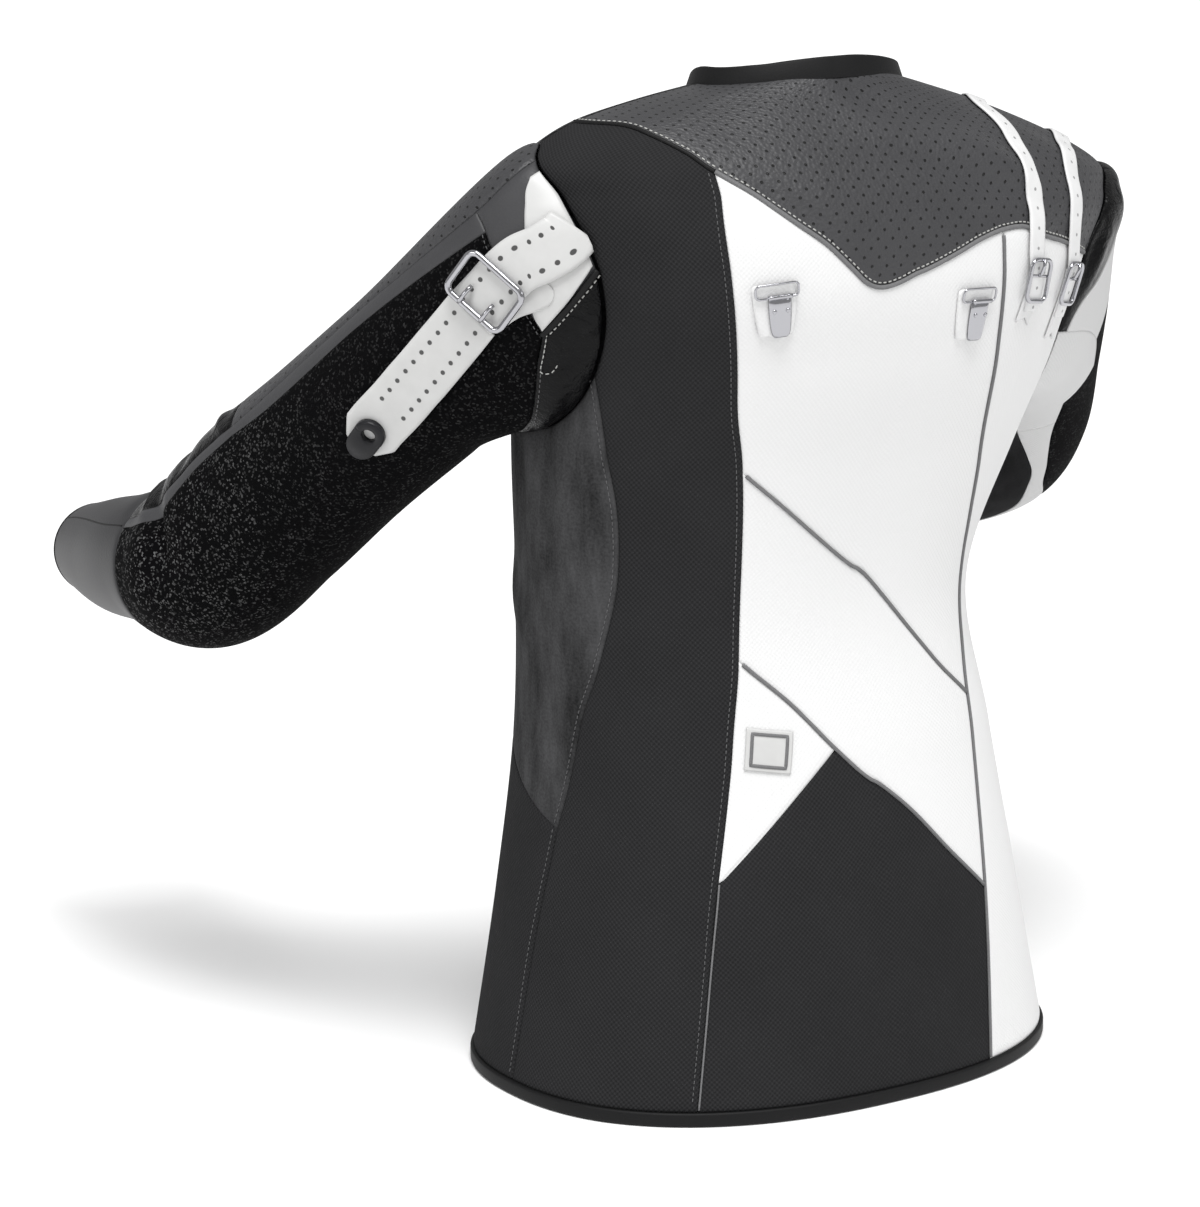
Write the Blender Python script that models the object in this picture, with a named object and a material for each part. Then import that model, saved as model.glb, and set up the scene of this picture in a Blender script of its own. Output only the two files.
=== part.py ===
"""Target-shooting jacket that stands on its own hem, as the photograph shows it.

Units are metres, +Z is up, the front faces -Y and the wearer's left arm is on +X.
The jacket is cut from flat panels, and every panel here is a patch of one of three
smooth forms: the body and the two sleeves. A place on a form is written as a pair:
  body:   degrees round it (0 wearer's left side, 90 centre back, 180 right side,
          270 centre front) and metres up the centre back from the hem
  sleeve: degrees round it (0 top of the arm, 90 its outer side, 180 underneath,
          270 the side against the body) and metres along it from the armhole
"""
import math

import bmesh
import bpy
import numpy as np
from mathutils import Vector

# ---------------------------------------------------------------- cloth and gaps
CANVAS = 0.0024          # stiff double canvas with its lining
LEATHER = 0.0022         # yoke, sleeve and cuff leather
BINDING_TALL = 0.009     # bound hem
COLLAR_TALL = 0.010      # collar band
COLLAR_LEAN = 0.35       # metres it leans in for each metre up
BINDING_PROUD = 0.0006   # the binding stands this far outside the panels
SEAM_GAP = 0.00025       # each panel stops this far short of its seam
LIFT = 0.0011            # what is sewn on a panel starts this far above it
LOW_LIFT = 0.0006        # the same where the panel is nearly flat
TAB_LIFT = 0.0002        # the same for the clips' flat tabs, which touch only along their middle
PIPING = 0.0030          # width of the flat piping
STRAP_WIDE = 0.015       # shoulder straps
STRAP_RISE = 0.0024      # a shoulder strap climbs this much to lie on its tab
SLING_WIDE = 0.040       # strap that holds the sling
SLING_THICK = 0.0022
SLEEVE_START = 0.001     # a sleeve starts this far along, clear of the armhole's edge
CHART_STEP = 0.0004      # step for slopes on a form, metres
DEGREE_STEP = 0.2

# The forms below are written about the middle of the hem. The whole jacket then moves by this much,
# so that the origin is the middle of its bounding box, on the floor.
PLACE = (0.0265, 0.1700, 0.0)

# ---------------------------------------------------------------- body form
# name, height at back, front, left, right, half widths left and right,
# depths back and front, shift to the left, shift to the back, squareness
BODY = (
    ("hem",      0.000, 0.000, 0.000, 0.000, 0.210, 0.210, 0.158, 0.160,  0.000,  0.000, 2.30),
    ("hip",      0.120, 0.120, 0.120, 0.120, 0.186, 0.186, 0.150, 0.150,  0.002, -0.003, 2.30),
    ("high_hip", 0.230, 0.230, 0.230, 0.230, 0.168, 0.168, 0.135, 0.138,  0.005, -0.006, 2.35),
    ("waist",    0.335, 0.335, 0.335, 0.335, 0.160, 0.160, 0.122, 0.128,  0.013, -0.008, 2.40),
    ("ribs",     0.425, 0.425, 0.425, 0.425, 0.180, 0.180, 0.128, 0.128, -0.003, -0.004, 2.40),
    ("chest",    0.500, 0.500, 0.500, 0.500, 0.196, 0.200, 0.138, 0.126, -0.014,  0.004, 2.40),
    ("scapula",  0.560, 0.555, 0.560, 0.552, 0.206, 0.226, 0.138, 0.118, -0.012,  0.012, 2.40),
    ("deltoid",  0.612, 0.598, 0.610, 0.584, 0.214, 0.244, 0.122, 0.100, -0.012,  0.016, 2.30),
    ("shoulder", 0.642, 0.626, 0.637, 0.610, 0.208, 0.234, 0.096, 0.080, -0.012,  0.020, 2.20),
    ("slope",    0.660, 0.638, 0.657, 0.634, 0.170, 0.186, 0.078, 0.070, -0.011,  0.022, 2.10),
    ("nape",     0.672, 0.644, 0.668, 0.655, 0.124, 0.134, 0.066, 0.064, -0.007,  0.025, 2.00),
    ("neck",     0.684, 0.648, 0.676, 0.672, 0.076, 0.076, 0.058, 0.066, -0.002,  0.028, 2.00),
)
NECK = 0.684

# name, metres along, centre x, y, z, half height, half width
LEFT_SLEEVE = (
    ("bicep",    0.12,  0.224, -0.092, 0.478, 0.063, 0.062),
    ("mid",      0.21,  0.245, -0.155, 0.428, 0.063, 0.062),
    ("elbow_up", 0.29,  0.266, -0.215, 0.378, 0.066, 0.062),
    ("elbow",    0.36,  0.283, -0.270, 0.331, 0.063, 0.060),
    ("forearm",  0.43,  0.284, -0.338, 0.320, 0.049, 0.051),
    ("wrist",    0.52,  0.272, -0.422, 0.306, 0.043, 0.042),
    ("cuff",     0.60,  0.259, -0.491, 0.298, 0.034, 0.035),
)
RIGHT_SLEEVE = (
    ("bicep",    0.12, -0.278, -0.068, 0.460, 0.064, 0.060),
    ("mid",      0.19, -0.318, -0.121, 0.406, 0.061, 0.058),
    ("elbow_up", 0.26, -0.341, -0.174, 0.370, 0.059, 0.056),
    ("elbow",    0.32, -0.336, -0.232, 0.345, 0.055, 0.054),
    ("forearm",  0.38, -0.308, -0.283, 0.328, 0.052, 0.050),
    ("wrist",    0.46, -0.262, -0.345, 0.312, 0.043, 0.041),
    ("cuff",     0.53, -0.215, -0.395, 0.300, 0.038, 0.036),
)
MITRE = 0.030            # along this much of a sleeve its thickness turns from the body's normal to its own
# how strongly a sleeve leaves the armhole sideways: on top, outside, underneath and against the body
HEAD = {"left": (0.52, 0.70, 0.35, 0.35), "right": (0.58, 0.45, 0.35, 0.35)}
# armholes, ovals on the body form: centre, half width in degrees, half height
ARMHOLES = {"left": (-12.0, 0.547, 33.0, 0.100), "right": (169.0, 0.542, 34.0, 0.096)}

# Large folds: form, start, end, half breadth in metres, height (negative is a valley).
FOLDS = (
    ("body",  (95, 0.668), (112, 0.610), 0.009,  0.0030),
    ("body",  (84, 0.662), (104, 0.585), 0.010,  0.0024),
    ("body",  (5, 0.470),  (10, 0.330),  0.010,  0.0040),
    ("body",  (14, 0.470), (17, 0.340),  0.008,  0.0030),
    ("body",  (-6, 0.430), (2, 0.320),   0.010,  0.0030),
    ("body",  (27, 0.020), (33, 0.250),  0.020,  0.0020),
    ("left",  (40, 0.338), (105, 0.345), 0.007, -0.0060),
    ("left",  (55, 0.362), (120, 0.372), 0.010,  0.0030),
    ("left",  (120, 0.010), (150, 0.034), 0.012,  0.0060),
    ("left",  (165, 0.006), (185, 0.034), 0.010, -0.0050),
    ("right", (200, 0.180), (260, 0.215), 0.010, -0.0035),
    ("right", (195, 0.235), (260, 0.255), 0.010,  0.0030),
)

# ---------------------------------------------------------------- seams on the body
YOKE_SEAM_LEFT = ((-8, 0.658), (20, 0.658), (36, 0.652), (48, 0.642), (54.5, 0.630))
YOKE_SEAM_BACK = ((54.5, 0.630), (61.5, 0.614), (69, 0.595), (74, 0.582), (78.5, 0.566), (81.5, 0.555),
                  (84.3, 0.5515), (87.5, 0.554), (91, 0.561), (96, 0.570), (100, 0.577), (104.6, 0.582))
YOKE_SEAM_RIGHT = ((104.6, 0.582), (110, 0.583), (115.5, 0.576), (123, 0.570), (135.5, 0.5578))
PRINCESS_LEFT = ((54.5, 0.630), (53.7, 0.577), (54.8, 0.486), (59.5, 0.432), (63.0, 0.360), (62.4, 0.3055),
                 (57.6, 0.248), (52.5, 0.161), (50.8, 0.100), (50, 0.0))
PRINCESS_RIGHT = ((104.6, 0.582), (106.3, 0.530), (109.5, 0.485), (114, 0.445), (121, 0.401), (128, 0.365),
                  (132, 0.335), (131.5, 0.300), (126, 0.258), (122, 0.198), (118, 0.128), (114.4, 0.061),
                  (112, 0.0))
DIAGONAL_HIGH = ((59.5, 0.432), (73.6, 0.401), (87.5, 0.3674), (96.5, 0.3352), (108.2, 0.3029), (116, 0.2801),
                 (126, 0.258))
DIAGONAL_LOW_LEFT = ((62.4, 0.3055), (74, 0.276), (83.3, 0.242))
DIAGONAL_LOW_RIGHT = ((83.3, 0.242), (90.1, 0.2169), (97.7, 0.1915), (106.7, 0.1604), (118, 0.128))
TRIANGLE_TIP = (53.6, 0.1625)
TRIANGLE_PEAK = (83.3, 0.242)
FRONT_YOKE_LEFT = ((-90, 0.585), (-66, 0.590), (-40, 0.600))
FRONT_YOKE_RIGHT = ((196.1, 0.600), (230, 0.590), (270, 0.585))
SUEDE_SEAM = ((16, 0.494), (20.7, 0.448), (25.4, 0.405), (26.5, 0.366), (24.5, 0.336), (18, 0.294),
              (11.4, 0.260), (7, 0.215), (3.9, 0.182))
SUEDE_FOOT = ((-50, 0.250), (-24, 0.218), (3.9, 0.182))
SUEDE_FRONT = ((-40, 0.494), (-47, 0.380), (-50, 0.250))
SIDE_SEAM_LEFT = ((3.9, 0.182), (0.8, 0.107), (0, 0.0))
SIDE_SEAM_RIGHT = ((150, 0.4624), (160, 0.380), (168, 0.300), (172, 0.150), (172, 0.0))
FRONT_SEAM_RIGHT = ((193, 0.474), (222, 0.380), (228, 0.250), (230, 0.0))

# ---------------------------------------------------------------- seams on the sleeves
LEFT_TOP_EDGE = ((24, SLEEVE_START), (32, 0.024), (38, 0.043), (41, 0.075), (41, 0.110), (43, 0.170), (46, 0.250))
LEFT_HEAD_SEAM = ((51, 0.043), (61, 0.043), (81, 0.040), (100, 0.033))
LEFT_STRIPE_EDGE = ((51, 0.043), (53, 0.070), (55, 0.120), (57, 0.200), (54, 0.250))
LEFT_STRIPE_TAIL = ((46, 0.250), (47, 0.335), (50, 0.400))
LEFT_GRIP_TAIL = ((54, 0.250), (56, 0.306), (58, 0.335), (57, 0.400))
LEFT_GUSSET_SIDE = ((79, SLEEVE_START), (100, 0.033))
LEFT_GUSSET_FOOT = ((100, 0.033), (117, 0.037), (150, 0.036), (215, 0.030))
RIGHT_CAP_LINE = ((116, 0.011), (108, 0.013), (100, 0.018), (90, 0.029), (65, 0.044), (30, 0.052), (-70, 0.052))
RIGHT_STRIP_EDGE = ((152, 0.132), (155, 0.155), (158, 0.200), (152, 0.250), (150, 0.300))
RIGHT_INNER_EDGE = ((180, 0.132), (172, 0.165), (169, 0.197), (174, 0.245), (184, 0.300))

# ---------------------------------------------------------------- things sewn on
PATCH = ((59.9, 0.2346), (61.8, 0.2622), (73.6, 0.2572), (71.5, 0.2296))
CLIPS = {"left": (62.6, 0.543), "right": (99.0, 0.529)}
STRAPS = {
    "inner": {"path": ((202, 0.660), (180, 0.669), (155, 0.671), (128, 0.664), (116, 0.643), (113.7, 0.625),
                       (112.9, 0.600), (112.7, 0.572), (113.8, 0.548)),
              "buckle": (114.6, 0.5460), "tab": ((114.8, 0.556), (113.2, 0.516))},
    "outer": {"path": ((200, 0.642), (184, 0.652), (165, 0.654), (146, 0.650), (134, 0.640), (128.6, 0.628),
                       (126.6, 0.610), (125.6, 0.587), (126.4, 0.565), (128.0, 0.545)),
              "buckle": (128.4, 0.5400), "tab": ((128.2, 0.549), (128.6, 0.500))},
}
SLING_HIGH = ((62, 0.004), (66, 0.012), (69, 0.024), (70, 0.033), (73, 0.041))
SLING_LOW = ((83, 0.058), (93, 0.072), (104, 0.089), (113, 0.109), (118, 0.142))
SLING_BUCKLE = (76, 0.049)
SLING_ANCHOR = ((34, 0.003), (77, 0.003), (98, 0.0325), (36, 0.010))
SLING_ANCHOR_FOOT = ((36, 0.010), (46, 0.020), (70, 0.031), (89, 0.035), (98, 0.0325))
BUTTON_HEIGHTS = (0.060, 0.200, 0.340, 0.480)

COLOURS = {
    "perforated_leather": ((0.045, 0.045, 0.047), 0.55, 0.0),
    "dark_canvas": ((0.040, 0.040, 0.042), 0.85, 0.0),
    "white_canvas": ((0.80, 0.80, 0.80), 0.60, 0.0),
    "suede": ((0.050, 0.050, 0.052), 0.95, 0.0),
    "grip_rubber": ((0.008, 0.008, 0.008), 0.70, 0.0),
    "nappa_leather": ((0.012, 0.012, 0.013), 0.35, 0.0),
    "grey_leather": ((0.110, 0.110, 0.112), 0.50, 0.0),
    "stripe_leather": ((0.070, 0.070, 0.072), 0.50, 0.0),
    "grey_piping": ((0.200, 0.200, 0.200), 0.60, 0.0),
    "black_binding": ((0.010, 0.010, 0.010), 0.60, 0.0),
    "white_strap": ((0.68, 0.68, 0.67), 0.45, 0.0),
    "chrome": ((0.75, 0.75, 0.76), 0.18, 1.0),
    "black_plastic": ((0.015, 0.015, 0.015), 0.40, 0.0),
}


# ================================================================ forms
def table_curve(table, at):
    """Smooth curve through the rows of a table, read at the keys in its first number column."""
    values = np.array([row[1:] for row in table], float)
    keys = values[:, 0]
    at = np.clip(np.asarray(at, float), keys[0], keys[-1])
    step = np.diff(keys)[:, None]
    slope = np.diff(values, axis=0) / step
    middle = (slope[:-1] * step[1:] + slope[1:] * step[:-1]) / (step[1:] + step[:-1])
    tangent = np.vstack([slope[:1], middle, slope[-1:]])
    row = np.clip(np.searchsorted(keys, at, side="right") - 1, 0, len(keys) - 2)
    h = step[row, 0][..., None]
    t = ((at - keys[row]))[..., None] / h
    return ((2 * t**3 - 3 * t**2 + 1) * values[row] + (t**3 - 2 * t**2 + t) * h * tangent[row]
            + (3 * t**2 - 2 * t**3) * values[row + 1] + (t**3 - t**2) * h * tangent[row + 1])


def bare_body(around, up):
    """The body without its folds: a rounded oval at each height, its rim tilted towards the shoulders."""
    k = table_curve(BODY, up)
    back, front, left, right, wide_left, wide_right, deep_back, deep_front, shift_x, shift_y, square = (
        k[..., i] for i in range(11))
    turn = np.radians(around)
    c, s = np.cos(turn), np.sin(turn)
    # the sideways shift belongs to the back, so it fades towards the centre front
    x = (shift_x * (1 - np.clip(-s, 0, 1) ** 2)
         + np.where(c > 0, wide_left, wide_right) * np.sign(c) * np.abs(c) ** (2 / square))
    y = shift_y + np.where(s > 0, deep_back, deep_front) * np.sign(s) * np.abs(s) ** (2 / square)
    z = np.where(s > 0, back, front) * s * s + np.where(c > 0, left, right) * c * c
    return np.stack([x, y, z], -1)


def armhole(side, around):
    """The armhole's edge on the body, at the sleeve's own degrees."""
    centre, height, half_degrees, half_height = ARMHOLES[side]
    turn = np.radians(around)
    outward = 1 if side == "left" else -1
    return bare_body(centre + outward * half_degrees * np.sin(turn), height + half_height * np.cos(turn))


def sleeve_ring(side, around, along):
    """An oval square to the sleeve's bent centre line."""
    table = LEFT_SLEEVE if side == "left" else RIGHT_SLEEVE
    k = table_curve(table, along)
    way = (table_curve(table, along + 0.012) - table_curve(table, along - 0.012))[..., 1:4]
    way = way / np.linalg.norm(way, axis=-1, keepdims=True)
    across = np.cross(way, (0.0, 0.0, 1.0))
    across = across / np.linalg.norm(across, axis=-1, keepdims=True)
    top = np.cross(across, way)
    outward = -1 if side == "left" else 1
    turn = np.radians(around)
    return (k[..., 1:4] + top * (k[..., 4] * np.cos(turn))[..., None]
            + across * (outward * k[..., 5] * np.sin(turn))[..., None])


def bare_sleeve(side, around, along):
    """A sleeve without its folds: ovals down the arm, and above the first of them a smooth head to the armhole."""
    first = (LEFT_SLEEVE if side == "left" else RIGHT_SLEEVE)[0][1]
    ring = sleeve_ring(side, around, np.maximum(along, first))
    rim = armhole(side, around)
    start = sleeve_ring(side, around, np.full(np.shape(around), first))
    onward = (sleeve_ring(side, around, np.full(np.shape(around), first + 0.004)) - start) / 0.004
    reach = np.linalg.norm(start - rim, axis=-1, keepdims=True)
    centre = math.radians(ARMHOLES[side][0])
    leave = np.array((math.cos(centre), math.sin(centre), 0.0))
    turn = np.radians(around)
    up, out, down, beside = HEAD[side]
    c, s = np.cos(turn), np.sin(turn)
    strength = np.where(c > 0, up, down) * c * c + np.where(s > 0, out, beside) * s * s
    t = np.clip(along / first, 0, 1)[..., None]
    head = ((2 * t**3 - 3 * t**2 + 1) * rim + (3 * t**2 - 2 * t**3) * start
            + (t**3 - 2 * t**2 + t) * reach * strength[..., None] * leave + (t**3 - t**2) * reach * onward)
    return np.where(t < 1, head, ring)


def bare_form(form, around, along):
    around, along = np.broadcast_arrays(np.asarray(around, float), np.asarray(along, float))
    return bare_body(around, along) if form == "body" else bare_sleeve(form, around, along)


def slopes(form, around, along, shape):
    """How a form moves per degree round it and per metre along it."""
    end = {"body": NECK, "left": LEFT_SLEEVE[-1][1], "right": RIGHT_SLEEVE[-1][1]}[form]
    along = np.clip(along, 0, end)
    low, high = np.clip(along - CHART_STEP, 0, end), np.clip(along + CHART_STEP, 0, end)
    left, right = shape(form, around - DEGREE_STEP, along), shape(form, around + DEGREE_STEP, along)
    per_degree = (right - left) / (2 * DEGREE_STEP)
    per_metre = (shape(form, around, high) - shape(form, around, low)) / (high - low)[..., None]
    return per_degree, per_metre


def outward_normal(form, around, along, shape):
    per_degree, per_metre = slopes(form, around, along, shape)
    normal = np.cross(per_degree, per_metre)
    if form == "left":
        normal = -normal
    return normal / np.linalg.norm(normal, axis=-1, keepdims=True)


def fold_height(form, around, along):
    """Height of the large folds at a place: each is a soft ridge along a line on the form."""
    degree = 0.0030 if form == "body" else 0.0011
    height = np.zeros(np.shape(around))
    for of_form, start, end, breadth, rise in FOLDS:
        if of_form != form:
            continue
        way = np.array([(end[0] - start[0]) * degree, end[1] - start[1]])
        reach = np.stack([(around - start[0]) * degree, along - start[1]], -1)
        t = np.clip(reach @ way / (way @ way), 0, 1)
        off = reach - t[..., None] * way
        fade = np.sin(np.pi * np.clip(0.08 + 0.84 * t, 0, 1))
        height = height + rise * fade * np.exp(-(off ** 2).sum(-1) / (2 * breadth ** 2))
    return height


def form_point(form, around, along):
    around, along = np.broadcast_arrays(np.asarray(around, float), np.asarray(along, float))
    normal = outward_normal(form, around, along, bare_form)
    return bare_form(form, around, along) + normal * fold_height(form, around, along)[..., None]


def on_form(form, chart, lift=0.0):
    """Points on a form, moved out along its normal by lift, and the normals there."""
    chart = np.asarray(chart, float)
    around, along = chart[..., 0], chart[..., 1]
    normal = outward_normal(form, around, along, form_point)
    return form_point(form, around, along) + normal * np.asarray(lift)[..., None], normal


# ================================================================ seams and grids
def lengths(form, line):
    points = form_point(form, line[:, 0], line[:, 1])
    return np.concatenate([[0], np.cumsum(np.linalg.norm(np.diff(points, axis=0), axis=1))])


def divided(form, line, cells, start=0, end=None):
    """A seam, or its stretch between two of its points, cut into equal cells along a smooth curve."""
    line = np.asarray(line, float)
    end = len(line) - 1 if end is None else end
    if len(line) > 2:
        table = [("", i, *point) for i, point in enumerate(line)]
        line = table_curve(table, np.linspace(start, end, 12 * (end - start) + 1))[:, 1:]
    else:
        line = line[0] + (line[1] - line[0]) * np.linspace(0, 1, 13)[:, None]
    run = lengths(form, line)
    at = np.linspace(0, run[-1], cells + 1)
    return np.stack([np.interp(at, run, line[:, 0]), np.interp(at, run, line[:, 1])], -1)


def joined(form, *parts):
    """Several seams end to end, each with its own number of cells."""
    pieces = [divided(form, *part) for part in parts]
    return np.concatenate([pieces[0]] + [piece[1:] for piece in pieces[1:]])


def armhole_arc(side, start, end, steps=10):
    """Part of an armhole as a line on the body, between two of the sleeve's degrees."""
    centre, height, half_degrees, half_height = ARMHOLES[side]
    outward = 1 if side == "left" else -1
    turn = np.radians(np.linspace(start, end, steps + 1))
    return np.stack([centre + outward * half_degrees * np.sin(turn), height + half_height * np.cos(turn)], -1)


def patch(top, bottom, left, right):
    """Grid of places between four seams. Top and bottom run left to right, left and right run top to bottom."""
    across = np.linspace(0, 1, len(top))[None, :, None]
    down = np.linspace(0, 1, len(left))[:, None, None]
    grid = (1 - down) * top[None] + down * bottom[None] + (1 - across) * left[:, None] + across * right[:, None]
    corners = ((1 - down) * (1 - across) * top[0] + (1 - down) * across * top[-1]
               + down * (1 - across) * bottom[0] + down * across * bottom[-1])
    return grid - corners


def stop_short(form, grid, gap=SEAM_GAP, sides="tblr"):
    """Moves the rim of a grid inwards by the seam gap."""
    grid = np.array(grid, float)
    def pull(rim, inner):
        rim_at = form_point(form, rim[..., 0], rim[..., 1])
        inner_at = form_point(form, inner[..., 0], inner[..., 1])
        share = gap / np.maximum(np.linalg.norm(inner_at - rim_at, axis=-1, keepdims=True), 1e-6)
        return rim + (inner - rim) * np.minimum(share, 0.45)
    if "t" in sides:
        grid[0] = pull(grid[0], grid[1])
    if "b" in sides:
        grid[-1] = pull(grid[-1], grid[-2])
    if "l" in sides:
        grid[:, 0] = pull(grid[:, 0], grid[:, 1])
    if "r" in sides:
        grid[:, -1] = pull(grid[:, -1], grid[:, -2])
    return grid


def strip_grid(form, line, cells, wide, across=2, taper=None):
    """Grid of places along a line on a form, so many metres wide."""
    line = divided(form, line, cells)
    per_degree, per_metre = slopes(form, line[:, 0], line[:, 1], form_point)
    way = np.gradient(form_point(form, line[:, 0], line[:, 1]), axis=0)
    normal = np.cross(per_degree, per_metre)
    side = np.cross(way, normal)
    side = side / np.linalg.norm(side, axis=-1, keepdims=True)
    offset = []
    for a, b, d in zip(per_degree, per_metre, side):
        offset.append(np.linalg.lstsq(np.stack([a, b], 1), d, rcond=None)[0])
    offset = np.array(offset)
    half = wide / 2 * (np.ones(len(line)) if taper is None else np.asarray(taper))
    spread = np.linspace(-1, 1, across + 1)
    return line[:, None] + offset[:, None] * (spread[None, :] * half[:, None])[..., None]


# ================================================================ meshes
def make_object(name, bm, kind):
    bmesh.ops.recalc_face_normals(bm, faces=bm.faces[:])
    if bm.calc_volume(signed=True) < 0:
        bmesh.ops.reverse_faces(bm, faces=bm.faces[:])
    # bent quads are split here, so that the walls on the two sides of a seam stay apart
    bmesh.ops.triangulate(bm, faces=bm.faces[:])
    mesh = bpy.data.meshes.new(name)
    bm.to_mesh(mesh)
    bm.free()
    part = bpy.data.objects.new(name, mesh)
    part.data.materials.append(make_material(name, kind))
    COLLECTION.objects.link(part)
    part.parent = ROOT
    return part


def make_material(name, kind):
    colour, roughness, metallic = COLOURS[kind]
    material = bpy.data.materials.new(f"{kind}_{name}")
    material.use_nodes = True
    shader = material.node_tree.nodes["Principled BSDF"]
    shader.inputs["Base Color"].default_value = (*colour, 1.0)
    shader.inputs["Roughness"].default_value = roughness
    shader.inputs["Metallic"].default_value = metallic
    material.diffuse_color = (*colour, 1.0)
    return material


def grid_cells(columns, rows):
    """A flat grid whose vertices know their column and row, ready to be extruded and laid on a form."""
    bm = bmesh.new()
    bmesh.ops.create_grid(bm, x_segments=columns, y_segments=rows, size=0.5)
    return bm


def lay(bm, columns, rows, place):
    """Moves each vertex of a grid slab to place(row, column, layer); layer 0 is the outer face."""
    for vert in bm.verts:
        column = round((vert.co.x + 0.5) * columns)
        row = round((0.5 - vert.co.y) * rows)
        vert.co = Vector(place(row, column, 0 if vert.co.z > -0.5 else 1))


def thicken(bm):
    lower = bmesh.ops.extrude_face_region(bm, geom=bm.faces[:], use_keep_orig=True)["geom"]
    bmesh.ops.translate(bm, verts=[v for v in lower if isinstance(v, bmesh.types.BMVert)], vec=(0, 0, -1))


def slab(name, kind, outer, inner):
    """A closed sheet between two grids of points."""
    rows, columns = outer.shape[0] - 1, outer.shape[1] - 1
    layers = (outer, inner)
    bm = grid_cells(columns, rows)
    thicken(bm)
    lay(bm, columns, rows, lambda row, column, layer: layers[layer][row, column])
    return make_object(name, bm, kind)


def ring_slab(name, kind, outer, inner):
    """A closed sheet whose first and last columns meet, like a cuff."""
    rows, columns = outer.shape[0] - 1, outer.shape[1] - 1
    layers = (outer, inner)
    bm = grid_cells(columns, rows)
    thicken(bm)
    ends = [f for f in bm.faces if all(abs(abs(v.co.x) - 0.5) < 1e-4 for v in f.verts)]
    bmesh.ops.delete(bm, geom=ends, context="FACES")
    lay(bm, columns, rows, lambda row, column, layer: layers[layer][row, column % columns])
    bmesh.ops.remove_doubles(bm, verts=bm.verts[:], dist=1e-6)
    return make_object(name, bm, kind)


def thickness_way(form, grid, normal):
    """The way a panel is thick: square to its form, but where a sleeve bends down over the edge of its
    armhole it starts along the body's own normal, so that the two walls of the seam stay parallel."""
    if form == "body":
        return normal
    centre, height, half_degrees, half_height = ARMHOLES[form]
    turn = np.radians(grid[..., 0])
    outward = 1 if form == "left" else -1
    body = outward_normal("body", centre + outward * half_degrees * np.sin(turn),
                          height + half_height * np.cos(turn), bare_form)
    away = slopes(form, grid[..., 0], np.full(grid.shape[:-1], 0.004), bare_form)[1]
    away = away / np.linalg.norm(away, axis=-1, keepdims=True)
    bends_down = np.clip(0.5 - 5 * (away * body).sum(-1), 0, 1)
    share = (1 - np.clip(grid[..., 1] / MITRE, 0, 1)) * bends_down
    way = body * share[..., None] + normal * (1 - share[..., None])
    return way / np.linalg.norm(way, axis=-1, keepdims=True)


def panel(name, kind, form, grid, thick=CANVAS, sides="tblr"):
    """A panel of the garment: its outer face lies on the form."""
    grid = stop_short(form, grid, sides=sides)
    outer, normal = on_form(form, grid)
    return slab(name, kind, outer, outer - thickness_way(form, grid, normal) * thick)


def overlay(name, kind, form, grid, thick, lift=LIFT):
    """Something sewn on a panel: made from the panel's own points moved out; lift may change row by row."""
    lift = np.broadcast_to(np.reshape(lift, (-1, 1)), grid.shape[:2])
    lower, normal = on_form(form, grid, lift)
    return slab(name, kind, lower + normal * thick, lower)


def tube(name, kind, path, radius, closed=True, sides=8):
    """A round wire along a list of points; a closed one joins its ends."""
    path = np.asarray(path, float)
    count = len(path)
    way = np.roll(path, -1, 0) - np.roll(path, 1, 0) if closed else np.gradient(path, axis=0)
    way = way / np.linalg.norm(way, axis=-1, keepdims=True)
    flat = np.linalg.svd(path - path.mean(0))[2][2]
    one = np.cross(way, flat)
    one = one / np.linalg.norm(one, axis=-1, keepdims=True)
    two = np.cross(one, way)
    turn = np.radians(np.arange(sides) * 360 / sides)
    ring = path[:, None] + radius * (one[:, None] * np.cos(turn)[:, None] + two[:, None] * np.sin(turn)[:, None])
    columns, rows = sides, count if closed else count - 1
    bm = grid_cells(columns, rows)
    lay(bm, columns, rows, lambda row, column, layer: ring[row % count, column % sides])
    bmesh.ops.remove_doubles(bm, verts=bm.verts[:], dist=1e-6)
    if not closed:
        bmesh.ops.holes_fill(bm, edges=[e for e in bm.edges if e.is_boundary], sides=0)
    return make_object(name, bm, kind)


def frame_at(form, place, way, lift):
    """Local axes of a fitting on a form: right, along and out, and its origin."""
    place = np.asarray(place, float)
    ahead = place + np.asarray(way, float)
    start, normal = on_form(form, place, lift)
    along = form_point(form, ahead[0], ahead[1]) - form_point(form, place[0], place[1])
    along = along - normal * (along @ normal)
    along = along / np.linalg.norm(along)
    return start, np.cross(along, normal), along, normal


def local(frame, points):
    origin, right, along, out = frame
    points = np.asarray(points, float)
    return origin + points[..., :1] * right + points[..., 1:2] * along + points[..., 2:3] * out


def rounded_rectangle(wide, tall, radius, arc=4):
    """Corner-rounded outline, anticlockwise, as x and y."""
    turn = np.radians(np.linspace(0, 90, arc + 1))
    corners = []
    for cx, cy, start in ((1, 1, 0), (-1, 1, 90), (-1, -1, 180), (1, -1, 270)):
        angle = turn + math.radians(start)
        corners.append(np.stack([cx * (wide / 2 - radius) + radius * np.cos(angle),
                                 cy * (tall / 2 - radius) + radius * np.sin(angle)], -1))
    return np.concatenate(corners)


def plate(name, kind, frame, grid, thick):
    """A flat or bent plate given as a grid of local x, y, height; it thickens outwards."""
    grid = np.asarray(grid, float)
    above = grid + (0, 0, thick)
    return slab(name, kind, local(frame, above), local(frame, grid))


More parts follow.
